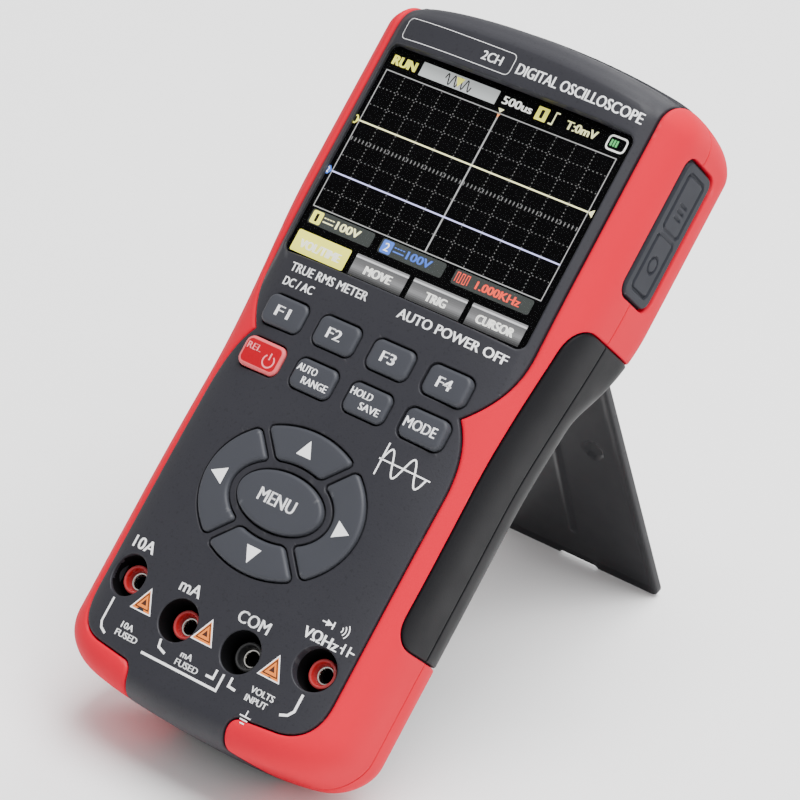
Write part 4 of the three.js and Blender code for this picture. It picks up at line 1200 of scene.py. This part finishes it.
def add_flap():
    y, z, length, height = FLAP
    surface = sheet((y - length / 2, z - height / 2), (y + length / 2, z + height / 2), 0.32, FLAP_FACE, "x")
    depth = FLAP_FACE - FLAP_INNER
    solid = shell(surface, [(flap_field, 0.7)], depth, lambda p: grooves(p) + port_icons(p), sink=-ACROSS)
    build("port_cover", [solid], FLAP_RUBBER, "port_flap", "flap_rubber", ["port_flap"])


def open_stand(points):
    """Turns points of the closed kickstand to where it stands at rest."""
    c, s = cos(STAND_OPEN), sin(STAND_OPEN)
    x, y, z = points.T
    return np.stack([x, y * c - z * s, y * s + z * c], -1) + STAND_HINGE


def stand_relief(points):
    """A centre rib, a round recess, and a raised border."""
    height = 0.5 * smooth(rib_field(points), -0.5, 0.6) - 0.6 * smooth(recess_field(points), 0, 0.7)
    return height + 0.35 * (1 - smooth(stand_edge(points), 1.4, 2.2)) - 0.35


def add_stand():
    surface = sheet((-26, -STAND_LENGTH - 1), (26, 1), 0.8, STAND_INNER)
    notch = box_field(0, -STAND_LENGTH - 2, 12, 5.8, 0.8)
    edges = [(stand_edge, 0.5), (outside(notch), 0.4)]
    plate = shell(surface, edges, STAND_INNER - STAND_OUTER, stand_relief, sink=DOWN, both=True)
    half, bore = STAND_ROOT, STAND_PIN + GAP
    barrel = [(bore, -half), (STAND_BARREL - 0.5, -half), (STAND_BARREL, -half + 0.5)]
    barrel += [(STAND_BARREL, half - 0.5), (STAND_BARREL - 0.5, half), (bore, half)]
    solids = [(open_stand(p), t) for p, t in (plate, turned(barrel, axis="x"))]
    build("kickstand_plate", solids, STAND, "kickstand", "stand_plastic", ["kickstand"])


def ridges(points):
    """Finger ridges across the battery door, engraved."""
    wave = 0.5 + 0.5 * np.cos((points[:, 1] - RIDGES_Y) * pi / 1.2)
    return -0.3 * wave * smooth(box_field(0, RIDGES_Y, 12, 9.6, 1)(points), 0, 0.5)


def add_door():
    half, low, high = DOOR
    face = flipped(sheet((-half, low), (half, high), 0.8, POCKET_Z + GAP))
    screw_hole = round_field(0, 51, 1.5)
    solid = shell(face, [(door_field(0, 1.2), 0.4), (outside(screw_hole), 0.2)], 1.4, ridges)
    build("battery_door_plate", [solid], CASE, replaces=["battery_door"])


def finish_cad_nodes():
    """Materials for the CAD nodes that stay."""
    case_screws = [f"case_screw_{row}_{side}" for row in ("upper", "lower") for side in ("left", "right")]
    finishes = {
        LENS: ["lcd_lens"],
        DISPLAY: ["lcd_module"],
        MEMBRANE: ["keypad_membrane"],
        BOARD: ["main_board", "input_board"],
        BLACK: ["buzzer"],
        CERAMIC: ["fuse_10a", "fuse_ma"],
        WRAP: ["battery_cell"],
        NICKEL: ["signal_socket"],
        STEEL: ["usb_socket", "kickstand_pin", "battery_door_screw"] + case_screws,
    }
    for material, nodes in finishes.items():
        for node in nodes:
            for material_slot in frame["nodes"][node].material_slots:
                material_slot.material = material


# ---- Floor, light and camera ----

CAMERA_PLACE = (445.2, -6.3, 695.5)
CAMERA_FORWARD = (-0.5227, 0.1096, -0.8454)
CAMERA_UP = (-0.3502, 0.8766, 0.3301)
CAMERA_LENS = 165.2
LIGHT_TARGET = Vector((0, 0, 0.07))
FLOOR_HALF = 3.0
SKY = 0.7


def add_camera():
    data = bpy.data.cameras.new("camera")
    data.lens = CAMERA_LENS
    data.sensor_width = 36
    data.clip_start, data.clip_end = 0.01, 20
    forward = Vector(np.array(CAMERA_FORWARD) @ AXES).normalized()
    right = forward.cross(Vector(np.array(CAMERA_UP) @ AXES)).normalized()
    matrix = Matrix((right, right.cross(forward), -forward)).transposed().to_4x4()
    matrix.translation = Vector(to_row(np.array(CAMERA_PLACE)))
    camera = added("camera", data)
    camera.matrix_world = matrix
    bpy.context.scene.camera = camera


def add_light(name, place, size, power):
    data = bpy.data.lights.new(name, "AREA")
    data.shape = "SQUARE"
    data.size = size
    data.energy = power
    light = added(name, data)
    light.location = place
    light.rotation_euler = (LIGHT_TARGET - Vector(place)).to_track_quat("-Z", "Y").to_euler()


def add_stage():
    mesh = bpy.data.meshes.new("painted_shade_floor")
    corners = rectangle(-FLOOR_HALF, -FLOOR_HALF, FLOOR_HALF, FLOOR_HALF)
    mesh.from_pydata([(*corner, 0) for corner in corners], [], [(0, 1, 2, 3)])
    mesh.materials.append(finish("pale_floor", (0.93, 0.93, 0.93), 0.8, bump=0.02, vary=0.005))
    added("painted_shade_floor", mesh)
    world = bpy.data.worlds.new("studio")
    world.use_nodes = True
    world.node_tree.nodes["Background"].inputs["Color"].default_value = (1, 1, 1, 1)
    world.node_tree.nodes["Background"].inputs["Strength"].default_value = SKY
    bpy.context.scene.world = world
    add_light("top_light", (0.4, 0.1, 2), 1.6, 90)
    add_light("side_light", (1.6, -0.5, 0.9), 1, 12)
    add_light("back_light", (-0.3, 1.5, 1.2), 1, 16)


add_camera()
add_stage()
add_front_case()
add_rear_case()
add_skins()
add_keys()
add_legends()
add_prints()
add_picture()
add_jacks()
add_inputs()
add_flap()
add_stand()
add_door()
finish_cad_nodes()
